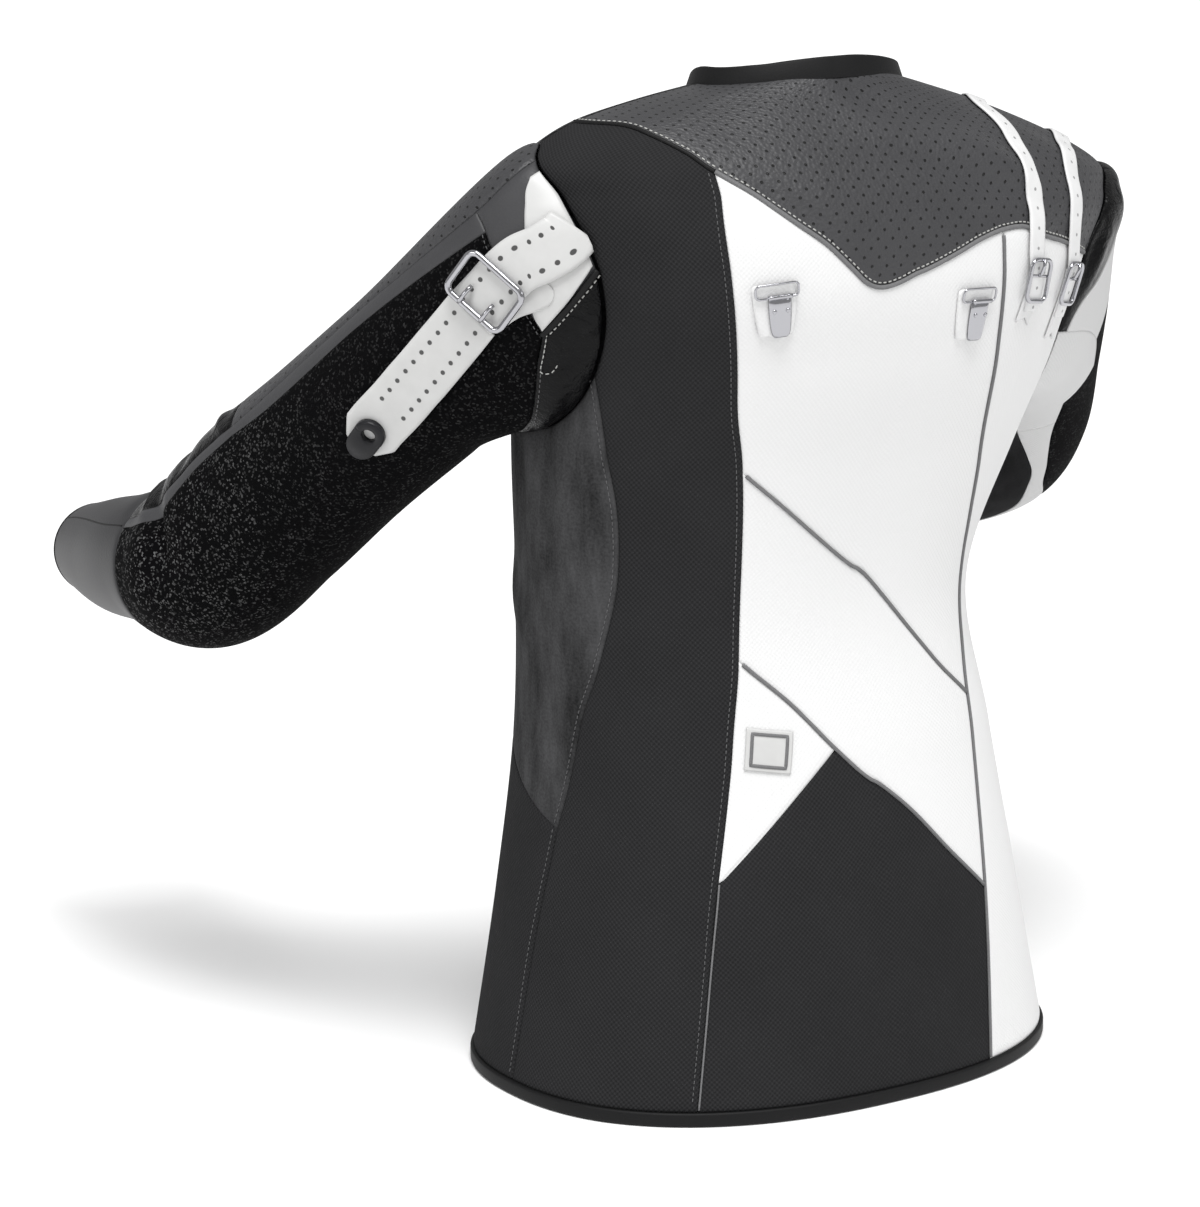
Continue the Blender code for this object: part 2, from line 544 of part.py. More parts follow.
# ================================================================ the jacket
def build_body():
    b = "body"
    ah = armhole_arc
    hem = BINDING_TALL + 0.0004
    def to_hem(line):
        return (*line[:-1], (line[-1][0], hem))
    def hem_line(start, end, cells):
        return divided(b, ((start, hem), (end, hem)), cells)
    yoke_left = divided(b, YOKE_SEAM_LEFT, 6)
    yoke_back = divided(b, YOKE_SEAM_BACK, 14)
    yoke_right = divided(b, YOKE_SEAM_RIGHT, 4)
    high = divided(b, DIAGONAL_HIGH, 14)
    low_left = divided(b, DIAGONAL_LOW_LEFT, 4)
    low_right = divided(b, DIAGONAL_LOW_RIGHT, 10)
    princess_left, princess_right = to_hem(PRINCESS_LEFT), to_hem(PRINCESS_RIGHT)
    # back yoke, from the left shoulder seam to the right armhole and up to the neck
    bottom = np.concatenate([yoke_left, yoke_back[1:], yoke_right[1:], divided(b, ah("right", 80.5, 0), 6)[1:]])
    panel("yoke_back", "perforated_leather", b, patch(
        divided(b, ((-5, NECK), (90, NECK), (180, NECK)), len(bottom) - 1), bottom,
        divided(b, ((-5, NECK), (-8, 0.658)), 6), divided(b, ((180, NECK), (169, 0.638)), 6)), LEATHER)
    # front yokes
    bottom = np.concatenate([divided(b, FRONT_YOKE_LEFT, 5), divided(b, ah("left", 302, 360), 5)[1:]])
    panel("yoke_front_left", "nappa_leather", b, patch(
        divided(b, ((-90, NECK), (-47, NECK), (-5, NECK)), 10), bottom,
        divided(b, ((-90, NECK), (-90, 0.585)), 6),
        joined(b, (((-5, NECK), (-8, 0.658)), 5), (((-8, 0.658), (-12, 0.647)), 1))), LEATHER)
    bottom = np.concatenate([divided(b, ah("right", 360, 307.2), 5), divided(b, FRONT_YOKE_RIGHT, 5)[1:]])
    panel("yoke_front_right", "nappa_leather", b, patch(
        divided(b, ((180, NECK), (225, NECK), (270, NECK)), 10), bottom,
        divided(b, ((180, NECK), (169, 0.638)), 6), divided(b, ((270, NECK), (270, 0.585)), 6)), LEATHER)
    # left back side, from the yoke to the hem behind the armhole and the suede panel
    left = joined(b, (((-8, 0.658), (-12, 0.647)), 1), (ah("left", 0, 122), 8), (SUEDE_SEAM, 14),
                  (to_hem(SIDE_SEAM_LEFT), 7))
    upper_left, band_left = (princess_left, 12, 0, 3), (princess_left, 6, 3, 5)
    triangle_left, lower_left = (princess_left, 5, 5, 7), (princess_left, 7, 7)
    upper_right, band_right = (princess_right, 12, 0, 8), (princess_right, 6, 8, 10)
    lower_right = (princess_right, 7, 10)
    panel("back_side_left", "dark_canvas", b, patch(
        yoke_left, hem_line(0, 50, 6), left, joined(b, upper_left, band_left, triangle_left, lower_left)))
    # suede panel under the left arm
    top = divided(b, ah("left", 238, 122), 6)
    panel("underarm_left", "suede", b, patch(
        top, divided(b, SUEDE_FOOT, 6), divided(b, SUEDE_FRONT, 14), divided(b, SUEDE_SEAM, 14)))
    panel("side_left_lower", "dark_canvas", b, patch(
        divided(b, SUEDE_FOOT, 6), hem_line(-50, 0, 6),
        divided(b, ((-50, 0.250), (-50, hem)), 7), divided(b, to_hem(SIDE_SEAM_LEFT), 7)))
    right = joined(b, (ah("left", 302, 238), 4), (SUEDE_FRONT, 14), (((-50, 0.250), (-50, hem)), 7))
    panel("front_left", "dark_canvas", b, patch(
        divided(b, FRONT_YOKE_LEFT, 5), hem_line(-90, -50, 5),
        divided(b, ((-90, 0.585), (-90, hem)), 25), right))
    # centre back, four cloths between the two long seams
    panel("back_upper", "white_canvas", b, patch(
        yoke_back, high, divided(b, *upper_left), divided(b, *upper_right)))
    panel("back_band", "white_canvas", b, patch(
        high, np.concatenate([low_left, low_right[1:]]), divided(b, *band_left), divided(b, *band_right)))
    panel("back_triangle", "white_canvas", b, patch(
        low_left, divided(b, (PRINCESS_LEFT[7], TRIANGLE_TIP), 4),
        divided(b, *triangle_left), divided(b, (TRIANGLE_PEAK, TRIANGLE_TIP), 5)))
    panel("back_lower", "dark_canvas", b, patch(
        np.concatenate([joined(b, ((PRINCESS_LEFT[7], TRIANGLE_TIP), 4), ((TRIANGLE_TIP, TRIANGLE_PEAK), 5)),
                        low_right[1:]]),
        hem_line(50, 112, 19), divided(b, *lower_left), divided(b, *lower_right)))
    # right side of the back and the hidden right front
    right = joined(b, (ah("right", 80.5, 146), 5), (to_hem(SIDE_SEAM_RIGHT), 20))
    panel("back_side_right", "white_canvas", b, patch(
        yoke_right, hem_line(112, 172, 4), joined(b, upper_right, band_right, lower_right), right))
    panel("side_right", "white_canvas", b, patch(
        divided(b, ah("right", 146, 225), 6), hem_line(172, 230, 6),
        divided(b, to_hem(SIDE_SEAM_RIGHT), 16), divided(b, to_hem(FRONT_SEAM_RIGHT), 16)))
    left = joined(b, (ah("right", 307.2, 225), 5), (to_hem(FRONT_SEAM_RIGHT), 16))
    panel("front_right", "dark_canvas", b, patch(
        divided(b, FRONT_YOKE_RIGHT, 5), hem_line(230, 270, 5),
        left, divided(b, ((270, 0.585), (270, hem)), 21)))


def build_rims():
    """Bound hem, collar band and the covered front."""
    around = np.linspace(-89.6, 269.6, 61)
    heights = np.linspace(BINDING_TALL, 0.0, 2)
    grid = np.stack(np.meshgrid(around, heights), -1)
    outer, normal = on_form("body", grid)
    level = normal * (1, 1, 0)
    level = level / np.linalg.norm(level, axis=-1, keepdims=True)
    slab("hem_binding", "black_binding", outer + level * BINDING_PROUD, outer - level * (CANVAS + BINDING_PROUD))
    rim = np.stack([np.linspace(-88, 268, 37), np.full(37, NECK)], -1)
    points = on_form("body", rim)[0]
    out = (points - points.mean(0)) * (1, 1, 0)
    out = out / np.linalg.norm(out, axis=-1, keepdims=True)
    steps = np.array([COLLAR_TALL, 0.0])[:, None, None]
    outer = points[None] + (0, 0, 0.0008) + ((0, 0, 1.0) - COLLAR_LEAN * out[None]) * steps
    slab("collar_band", "black_binding", outer, outer - out[None] * LEATHER)
    placket = ((270, 0.655), (270, 0.640), (270, 0.585), (270, 0.425), (270, 0.230), (270, 0.012))
    overlay("front_placket", "dark_canvas", "body", strip_grid("body", placket, 34, 0.036), 0.0018, 0.0012)
    for number, height in enumerate(BUTTON_HEIGHTS, 1):
        frame = frame_at("body", (270, height), (0, 0.01), 0.0012 + 0.0018 + 0.0008)
        bm = bmesh.new()
        bmesh.ops.create_cone(bm, cap_ends=True, segments=16, radius1=0.0090, radius2=0.0078, depth=0.0030)
        for vert in bm.verts:
            vert.co = Vector(local(frame, (vert.co.x, vert.co.y, vert.co.z + 0.0015)))
        make_object(f"button_{number}", bm, "black_plastic")


def build_trims():
    """Piping, the plain bordered patch and the cloth tabs of the clips."""
    b = "body"
    overlay("piping_yoke", "grey_piping", b, strip_grid(
        b, (*YOKE_SEAM_BACK[:-1], *YOKE_SEAM_RIGHT[:-1], (134.2, 0.560)), 34, PIPING, 1), 0.0010)
    overlay("piping_right", "grey_piping", b, strip_grid(
        b, ((104.7, 0.5780), *PRINCESS_RIGHT[1:-1], (112, 0.0110)), 40, PIPING, 1), 0.0010)
    overlay("piping_diagonal_high", "grey_piping", b, strip_grid(
        b, ((60.4, 0.4300), *DIAGONAL_HIGH[1:-1], (124.9, 0.2607)), 20, PIPING, 1), 0.0010, LOW_LIFT)
    overlay("piping_diagonal_low", "grey_piping", b, strip_grid(
        b, ((63.3, 0.3035), *DIAGONAL_LOW_LEFT[1:], *DIAGONAL_LOW_RIGHT[1:-1], (117.0, 0.1311)), 20, PIPING, 1),
            0.0010, LOW_LIFT)
    corner = [np.array(c, float) for c in PATCH]
    grid = patch(*(divided(b, line, 4) for line in (
        (corner[1], corner[2]), (corner[0], corner[3]), (corner[1], corner[0]), (corner[2], corner[3]))))
    overlay("side_patch", "white_canvas", b, grid, 0.0010, LOW_LIFT)
    for side, (around, up) in CLIPS.items():
        frame = frame_at(b, (around, up), (0, 0.01), TAB_LIFT)
        half = np.array([0.0150, 0.0160, 0.0145, 0.0115])
        grid = [[(x * h, y, 0.0006 * (1 - x * x)) for x in (-1, 0, 1)]
                for y, h in zip((0.016, 0.010, -0.006, -0.018), half)]
        plate(f"clip_tab_{side}", "white_strap", frame, grid, 0.0020)
        top = frame_at(b, (around + 0.8, up), (0, 0.01), TAB_LIFT + 0.0026 - 0.0001)
        half = np.array([0.0068, 0.0085, 0.0080, 0.0058])
        grid = [[(x * h, y, 0.0004 + 0.0014 * (1 - x * x)) for x in (-1, -0.5, 0, 0.5, 1)]
                for y, h in zip((0.010, 0.007, -0.010, -0.018), half)]
        plate(f"clip_{side}", "chrome", top, grid, 0.0016)


def build_straps():
    """Two narrow straps over the right shoulder, each with its buckle and the tab that holds it."""
    b = "body"
    for name, spec in STRAPS.items():
        rise = STRAP_RISE * np.clip(np.linspace(-4.0, 1.2, 27), 0, 1)
        strap, tab = strip_grid(b, spec["path"], 26, STRAP_WIDE), strip_grid(b, spec["tab"], 5, STRAP_WIDE)
        overlay(f"strap_{name}", "white_strap", b, strap, 0.0016, LIFT + rise)
        overlay(f"strap_tab_{name}", "white_strap", b, tab, 0.0014)
        frame = frame_at(b, spec["buckle"], (0, -0.01), LIFT + STRAP_RISE + 0.0016 + 0.0015)
        outline = rounded_rectangle(0.0210, 0.0270, 0.0050)
        tube(f"buckle_{name}", "chrome", local(frame, np.pad(outline, ((0, 0), (0, 1)))), 0.0013, sides=6)


def build_left_sleeve():
    s = "left"
    head_front = (LEFT_TOP_EDGE, 3, 0, 2)
    top_edge = (LEFT_TOP_EDGE, 12, 2)
    head_foot = (LEFT_HEAD_SEAM, 5)
    stripe_top = ((LEFT_TOP_EDGE[2], LEFT_HEAD_SEAM[0]), 1)
    grip_side = joined(s, (LEFT_STRIPE_EDGE, 12), (LEFT_GRIP_TAIL, 7))
    panel("sleeve_left_top", "perforated_leather", s, patch(
        divided(s, ((-35, SLEEVE_START), (24, SLEEVE_START)), 5), divided(s, ((-35, 0.250), (46, 0.250)), 5),
        divided(s, ((-35, SLEEVE_START), (-35, 0.250)), 15), joined(s, head_front, top_edge)), LEATHER)
    panel("sleeve_left_stripe", "stripe_leather", s, patch(
        divided(s, *stripe_top), divided(s, ((50, 0.400), (57, 0.400)), 1),
        joined(s, top_edge, (LEFT_STRIPE_TAIL, 7)), grip_side), LEATHER)
    panel("sleeve_left_head", "stripe_leather", s, patch(
        divided(s, ((24, SLEEVE_START), (79, SLEEVE_START)), 6), joined(s, stripe_top, head_foot),
        divided(s, *head_front), divided(s, LEFT_GUSSET_SIDE, 3)), LEATHER)
    panel("sleeve_left_gusset", "nappa_leather", s, patch(
        divided(s, ((79, SLEEVE_START), (130, 0.002), (175, 0.003), (215, SLEEVE_START)), 7),
        divided(s, LEFT_GUSSET_FOOT, 7),
        divided(s, LEFT_GUSSET_SIDE, 3), divided(s, ((215, SLEEVE_START), (215, 0.030)), 3)), LEATHER)
    panel("sleeve_left_grip", "grip_rubber", s, patch(
        joined(s, head_foot, (LEFT_GUSSET_FOOT, 7)), divided(s, ((57, 0.400), (215, 0.400)), 12),
        grip_side, divided(s, ((215, 0.030), (215, 0.400)), 19)), LEATHER)
    panel("sleeve_left_under", "dark_canvas", s, patch(
        divided(s, ((215, SLEEVE_START), (325, SLEEVE_START)), 6), divided(s, ((215, 0.400), (325, 0.400)), 6),
        joined(s, (((215, SLEEVE_START), (215, 0.030)), 3), (((215, 0.030), (215, 0.400)), 19)),
        joined(s, (((325, SLEEVE_START), (325, 0.250)), 15), (((325, 0.250), (325, 0.400)), 7))))
    panel("sleeve_left_elbow", "stripe_leather", s, patch(
        divided(s, ((-35, 0.250), (46, 0.250)), 5), divided(s, ((-35, 0.400), (50, 0.400)), 5),
        divided(s, ((-35, 0.250), (-35, 0.400)), 7), divided(s, LEFT_STRIPE_TAIL, 7)), LEATHER)
    cuff_ring("sleeve_left_cuff", "grey_leather", s,
              ((-35, 5), (50, 1), (57, 12), (215, 6), (325, 0)), 0.400, 0.600, 6)


def cuff_ring(name, kind, form, breaks, start, end, rows):
    """The last piece of a sleeve, all round; breaks are the seams that meet it and the cells after each."""
    around = np.concatenate([np.linspace(here, there, cells, endpoint=False)
                             for (here, cells), (there, _) in zip(breaks, breaks[1:])] + [[breaks[-1][0]]])
    along = np.linspace(start + 2 * SEAM_GAP, end, rows + 1)
    grid = np.stack(np.meshgrid(around, along), -1)
    outer, normal = on_form(form, grid)
    ring_slab(name, kind, outer, outer - normal * LEATHER)


def build_right_sleeve():
    s = "right"
    cap_line = joined(s, (RIGHT_CAP_LINE, 7, 0, 5), (RIGHT_CAP_LINE, 5, 5))
    cap_front = ((116, SLEEVE_START), (116, 0.011))
    band_front = ((116, 0.011), (115, 0.076))
    grip_front = ((((115, 0.076), (118, 0.106)), 2), (((118, 0.106), (148, 0.112)), 1),
                  (((148, 0.112), (152, 0.132)), 1))
    panel("sleeve_right_cap", "nappa_leather", s, patch(
        divided(s, ((116, SLEEVE_START), (-70, SLEEVE_START)), 12), cap_line,
        divided(s, cap_front, 3), divided(s, ((-70, SLEEVE_START), (-70, 0.052)), 3)), LEATHER)
    band_low = divided(s, ((115, 0.076), (80, 0.074), (30, 0.072)), 7)
    panel("sleeve_right_band", "white_canvas", s, patch(
        divided(s, RIGHT_CAP_LINE, 7, 0, 5), band_low,
        divided(s, band_front, 2), divided(s, ((30, 0.052), (30, 0.072)), 2)))
    inner_top = (((290, 0.132), (180, 0.132)), 6)
    strip_top = (((180, 0.132), (152, 0.132)), 2)
    panel("sleeve_right_white", "white_canvas", s, patch(
        divided(s, ((290, SLEEVE_START), (116, SLEEVE_START)), 8), joined(s, inner_top, strip_top),
        joined(s, (((290, SLEEVE_START), (290, 0.052)), 3), (((290, 0.052), (290, 0.132)), 6)),
        joined(s, (cap_front, 3), (band_front, 2), *grip_front)))
    panel("sleeve_right_top", "dark_canvas", s, patch(
        divided(s, RIGHT_CAP_LINE, 5, 5), divided(s, ((30, 0.300), (-70, 0.300)), 5),
        joined(s, (((30, 0.052), (30, 0.072)), 2), (((30, 0.072), (30, 0.300)), 12)),
        joined(s, (((-70, 0.052), (-70, 0.132)), 6), (((-70, 0.132), (-70, 0.300)), 8))))
    panel("sleeve_right_grip", "grip_rubber", s, patch(
        band_low, divided(s, ((150, 0.300), (30, 0.300)), 7),
        joined(s, *grip_front, (RIGHT_STRIP_EDGE, 8)), divided(s, ((30, 0.072), (30, 0.300)), 12)), LEATHER)
    panel("sleeve_right_strip", "white_canvas", s, patch(
        divided(s, *strip_top), divided(s, ((184, 0.300), (150, 0.300)), 2),
        divided(s, RIGHT_INNER_EDGE, 8), divided(s, RIGHT_STRIP_EDGE, 8)))
    panel("sleeve_right_inner", "suede", s, patch(
        divided(s, *inner_top), divided(s, ((290, 0.300), (184, 0.300)), 6),
        divided(s, ((290, 0.132), (290, 0.300)), 8), divided(s, RIGHT_INNER_EDGE, 8)))
    cuff_ring("sleeve_right_cuff", "white_canvas", s,
              ((-70, 5), (30, 7), (150, 2), (184, 6), (290, 0)), 0.300, 0.530, 7)


def ribbon(name, line, out, half):
    """A flat strap along a line of points, and the frames on its outer face."""
    way = np.gradient(line, axis=0)
    side = np.cross(way, out)
    side = side / np.linalg.norm(side, axis=-1, keepdims=True)
    out = np.cross(side, way)
    out = out / np.linalg.norm(out, axis=-1, keepdims=True)
    way = way / np.linalg.norm(way, axis=-1, keepdims=True)
    spread = np.linspace(-1, 1, 3)
    under = line[:, None] + side[:, None] * (spread[None, :, None] * half[:, None, None])
    slab(name, "white_strap", under + out[:, None] * SLING_THICK, under)
    return [(point + o * SLING_THICK, r, w, o) for point, r, w, o in zip(line, side, way, out)]


def build_sling():
    """White anchor patch at the left armhole, the two straps, their buckle and the hook at the end."""
    s = "left"
    low, normal = on_form(s, divided(s, SLING_LOW, 8), np.full(9, 0.0008))
    half = np.full(9, SLING_WIDE / 2)
    half[-1] = 0.0120
    low_frames = ribbon("sling_strap_low", low, normal, half)
    overlay("sling_strap_high", "white_strap", s, strip_grid(s, SLING_HIGH, 6, 0.034), SLING_THICK,
            np.linspace(0.0036, 0.0056, 7))
    high, right, foot, left = SLING_ANCHOR
    anchor = patch(divided(s, (high, right), 8), divided(s, SLING_ANCHOR_FOOT, 8),
                   divided(s, (high, left), 2), divided(s, (right, foot), 2))
    overlay("sling_anchor", "white_canvas", s, anchor, 0.0018, 0.0012)
    wire = 0.0020
    outline = np.pad(rounded_rectangle(0.046, 0.032, 0.006), ((0, 0), (0, 1)))
    tube("sling_buckle", "chrome", local(frame_at(s, SLING_BUCKLE, (7, 0.009), 0.0100), outline), wire)
    hook(low_frames[-1])


def hook(frame):
    """Flat black hook with a round eye, on the end of the strap."""
    turn = np.radians(np.linspace(0, 360, 25))
    reach = 0.011 + 0.011 * np.clip(np.sin(turn), 0, 1) ** 3
    circle = np.stack([np.cos(turn), np.sin(turn), 0 * turn], -1)
    centre = np.array([0.0, -0.014, 0.0008])
    grid = np.stack([centre + 0.0050 * circle, centre + reach[:, None] * circle])
    ring_slab("sling_hook", "black_plastic", local(frame, grid + (0, 0, 0.004)), local(frame, grid))


for old in list(bpy.data.objects):
    bpy.data.objects.remove(old, do_unlink=True)
COLLECTION = bpy.data.collections.new("shooting_jacket")
bpy.context.scene.collection.children.link(COLLECTION)
ROOT = bpy.data.objects.new("shooting_jacket", None)
ROOT.location = PLACE
COLLECTION.objects.link(ROOT)

build_body()
build_rims()
build_trims()
build_straps()
build_left_sleeve()
build_right_sleeve()
build_sling()
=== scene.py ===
"""Looks of the target-shooting jacket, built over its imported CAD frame.

Every panel is laid again on the same three smooth forms as in the CAD source, much finer, with its
creases, sunken seams and cloth. Units are metres. A place on a form is a pair: degrees round it, and
metres up the body or along the sleeve.
"""
import math

import bmesh
import bpy
import numpy as np
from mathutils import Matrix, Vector


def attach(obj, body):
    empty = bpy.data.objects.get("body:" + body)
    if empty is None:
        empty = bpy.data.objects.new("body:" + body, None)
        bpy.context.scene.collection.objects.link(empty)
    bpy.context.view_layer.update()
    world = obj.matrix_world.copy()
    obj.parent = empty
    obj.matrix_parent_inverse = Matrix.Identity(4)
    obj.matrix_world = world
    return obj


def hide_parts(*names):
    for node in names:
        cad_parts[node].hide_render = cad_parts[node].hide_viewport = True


bl_info = {
    "name": "Target-shooting jacket",
    "version": (1, 0, 0),
    "blender": (4, 5, 0),
    "location": "3D View > Sidebar > Jacket",
    "description": "Builds the cloth, fittings and stage of a target-shooting jacket on its CAD frame",
    "category": "Object",
}

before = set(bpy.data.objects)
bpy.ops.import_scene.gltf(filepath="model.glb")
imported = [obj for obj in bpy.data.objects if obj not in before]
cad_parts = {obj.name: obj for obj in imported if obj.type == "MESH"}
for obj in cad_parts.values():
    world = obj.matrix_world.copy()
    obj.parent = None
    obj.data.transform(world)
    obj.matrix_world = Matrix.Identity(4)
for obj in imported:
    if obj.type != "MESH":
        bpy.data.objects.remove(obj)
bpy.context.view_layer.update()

FINE = 6                 # a panel has this many cells for each cell of its CAD solid
SEAM_ROW = 0.0022        # the first row of a panel is this far from its seam
SEAM_GAP = 0.00005       # each panel stops this far short of its seam
DIP_REACH = 0.0018       # a panel sinks within about this distance of its seam
PUFF_REACH = 0.014       # and a swelling one has risen at about this distance
SLEEVE_START = 0.001     # the sleeves' panels begin this far along from the armhole
HEM_TOP = 0.0094         # the body's panels end here, above the bound hem
CHART_STEP = 0.0004      # metres and degrees to either side, for a form's slopes
DEGREE_STEP = 0.2
WEAVE_PITCH = 0.0034     # pitch of the canvas ribs, twice the real one
HOLE_WIDE = 0.0020       # punched holes of the perforated leather
STITCH_SHARE = 0.62      # part of its pitch that a stitch covers
THICK_KINDS = ("dark_canvas", "white_canvas", "shaded_sleeve_canvas", "suede", "shaded_suede")
PLACE = (0.0265, 0.1700, 0.0)      # the forms are written about the hem's middle and then moved by this

# Forms
# name, height at back, front, left, right, half widths left and right,
# depths back and front, shift to the left, shift to the back, squareness
BODY = (
    ("hem",      0.000, 0.000, 0.000, 0.000, 0.210, 0.210, 0.158, 0.160,  0.000,  0.000, 2.30),
    ("hip",      0.120, 0.120, 0.120, 0.120, 0.186, 0.186, 0.150, 0.150,  0.002, -0.003, 2.30),
    ("high_hip", 0.230, 0.230, 0.230, 0.230, 0.168, 0.168, 0.135, 0.138,  0.005, -0.006, 2.35),
    ("waist",    0.335, 0.335, 0.335, 0.335, 0.160, 0.160, 0.122, 0.128,  0.013, -0.008, 2.40),
    ("ribs",     0.425, 0.425, 0.425, 0.425, 0.180, 0.180, 0.128, 0.128, -0.003, -0.004, 2.40),
    ("chest",    0.500, 0.500, 0.500, 0.500, 0.196, 0.200, 0.138, 0.126, -0.014,  0.004, 2.40),
    ("scapula",  0.560, 0.555, 0.560, 0.552, 0.206, 0.226, 0.138, 0.118, -0.012,  0.012, 2.40),
    ("deltoid",  0.612, 0.598, 0.610, 0.584, 0.214, 0.244, 0.122, 0.100, -0.012,  0.016, 2.30),
    ("shoulder", 0.642, 0.626, 0.637, 0.610, 0.208, 0.234, 0.096, 0.080, -0.012,  0.020, 2.20),
    ("slope",    0.660, 0.638, 0.657, 0.634, 0.170, 0.186, 0.078, 0.070, -0.011,  0.022, 2.10),
    ("nape",     0.672, 0.644, 0.668, 0.655, 0.124, 0.134, 0.066, 0.064, -0.007,  0.025, 2.00),
    ("neck",     0.684, 0.648, 0.676, 0.672, 0.076, 0.076, 0.058, 0.066, -0.002,  0.028, 2.00),
)
NECK = 0.684

# name, metres along, centre x, y, z, half height, half width
LEFT_SLEEVE = (
    ("bicep",    0.12,  0.224, -0.092, 0.478, 0.063, 0.062),
    ("mid",      0.21,  0.245, -0.155, 0.428, 0.063, 0.062),
    ("elbow_up", 0.29,  0.266, -0.215, 0.378, 0.066, 0.062),
    ("elbow",    0.36,  0.283, -0.270, 0.331, 0.063, 0.060),
    ("forearm",  0.43,  0.284, -0.338, 0.320, 0.049, 0.051),
    ("wrist",    0.52,  0.272, -0.422, 0.306, 0.043, 0.042),
    ("cuff",     0.60,  0.259, -0.491, 0.298, 0.034, 0.035),
)
RIGHT_SLEEVE = (
    ("bicep",    0.12, -0.278, -0.068, 0.460, 0.064, 0.060),
    ("mid",      0.19, -0.318, -0.121, 0.406, 0.061, 0.058),
    ("elbow_up", 0.26, -0.341, -0.174, 0.370, 0.059, 0.056),
    ("elbow",    0.32, -0.336, -0.232, 0.345, 0.055, 0.054),
    ("forearm",  0.38, -0.308, -0.283, 0.328, 0.052, 0.050),
    ("wrist",    0.46, -0.262, -0.345, 0.312, 0.043, 0.041),
    ("cuff",     0.53, -0.215, -0.395, 0.300, 0.038, 0.036),
)
END = {"body": NECK, "left": 0.60, "right": 0.53}
HEAD = {"left": (0.52, 0.70, 0.35, 0.35), "right": (0.58, 0.45, 0.35, 0.35)}
ARMHOLES = {"left": (-12.0, 0.547, 33.0, 0.100), "right": (169.0, 0.542, 34.0, 0.096)}

# Folds of each form: start, end, half breadth in metres, height (negative is a valley). The body's
# first six, the left sleeve's first four and the right sleeve's first two are the CAD's own, and the
# others are creases that only the looks have.
FOLDS = {
    "body": (
        (95, 0.668, 112, 0.61, 0.009, 0.003), (84, 0.662, 104, 0.585, 0.01, 0.0024),
        (5, 0.47, 10, 0.33, 0.01, 0.004), (14, 0.47, 17, 0.34, 0.008, 0.003),
        (-6, 0.43, 2, 0.32, 0.01, 0.003),
        (27, 0.02, 33, 0.25, 0.02, 0.002), (82, 0.677, 104, 0.65, 0.0055, -0.0034),
        (86, 0.636, 113, 0.6, 0.006, -0.0046), (92, 0.644, 114, 0.616, 0.0075, 0.0036),
        (91, 0.603, 109, 0.586, 0.005, -0.003), (62, 0.623, 68, 0.606, 0.003, -0.0012),
        (67, 0.614, 74, 0.592, 0.004, -0.0015), (40, 0.674, 62, 0.65, 0.009, -0.0018),
        (126, 0.655, 150, 0.632, 0.007, -0.002), (-3, 0.485, 3, 0.395, 0.004, -0.002),
        (9, 0.455, 15, 0.375, 0.004, -0.0017), (-16, 0.47, -10, 0.4, 0.005, -0.002),
        (-34, 0.35, -8, 0.3, 0.009, 0.0022), (220, 0.33, 262, 0.3, 0.012, -0.0026),
        (-86, 0.34, -60, 0.3, 0.012, -0.0026), (232, 0.44, 262, 0.47, 0.01, 0.0024),
        (-70, 0.52, -40, 0.47, 0.01, -0.0024),
    ),
    "left": (
        (40, 0.338, 105, 0.345, 0.007, -0.006), (55, 0.362, 120, 0.372, 0.01, 0.003),
        (120, 0.01, 150, 0.034, 0.012, 0.006), (165, 0.006, 185, 0.034, 0.01, -0.005),
        (50, 0.331, 88, 0.346, 0.003, -0.0045), (58, 0.352, 98, 0.36, 0.0045, 0.0018),
        (-25, 0.345, 44, 0.338, 0.0045, -0.0042), (-15, 0.375, 46, 0.362, 0.005, 0.0036),
        (-10, 0.3, 42, 0.306, 0.0045, -0.003), (5, 0.275, 43, 0.262, 0.004, 0.0026),
        (20, 0.408, 52, 0.402, 0.004, -0.0022), (235, 0.31, 300, 0.33, 0.006, -0.0045),
        (240, 0.35, 310, 0.365, 0.006, 0.003), (86, 0.012, 108, 0.02, 0.0045, -0.0028),
        (104, 0.006, 114, 0.026, 0.004, -0.003), (92, 0.005, 104, 0.01, 0.004, 0.0024),
        (118, 0.02, 150, 0.012, 0.005, -0.003),
    ),
    "right": (
        (200, 0.18, 260, 0.215, 0.01, -0.0035), (195, 0.235, 260, 0.255, 0.01, 0.003),
        (60, 0.01, 96, 0.008, 0.0035, -0.0022), (70, 0.022, 98, 0.012, 0.003, 0.0016),
        (35, 0.02, 70, 0.034, 0.006, 0.002), (300, 0.2, 345, 0.215, 0.008, -0.0035),
        (310, 0.25, 350, 0.262, 0.008, 0.0028), (120, 0.3, 175, 0.32, 0.007, -0.0026),
    ),
}

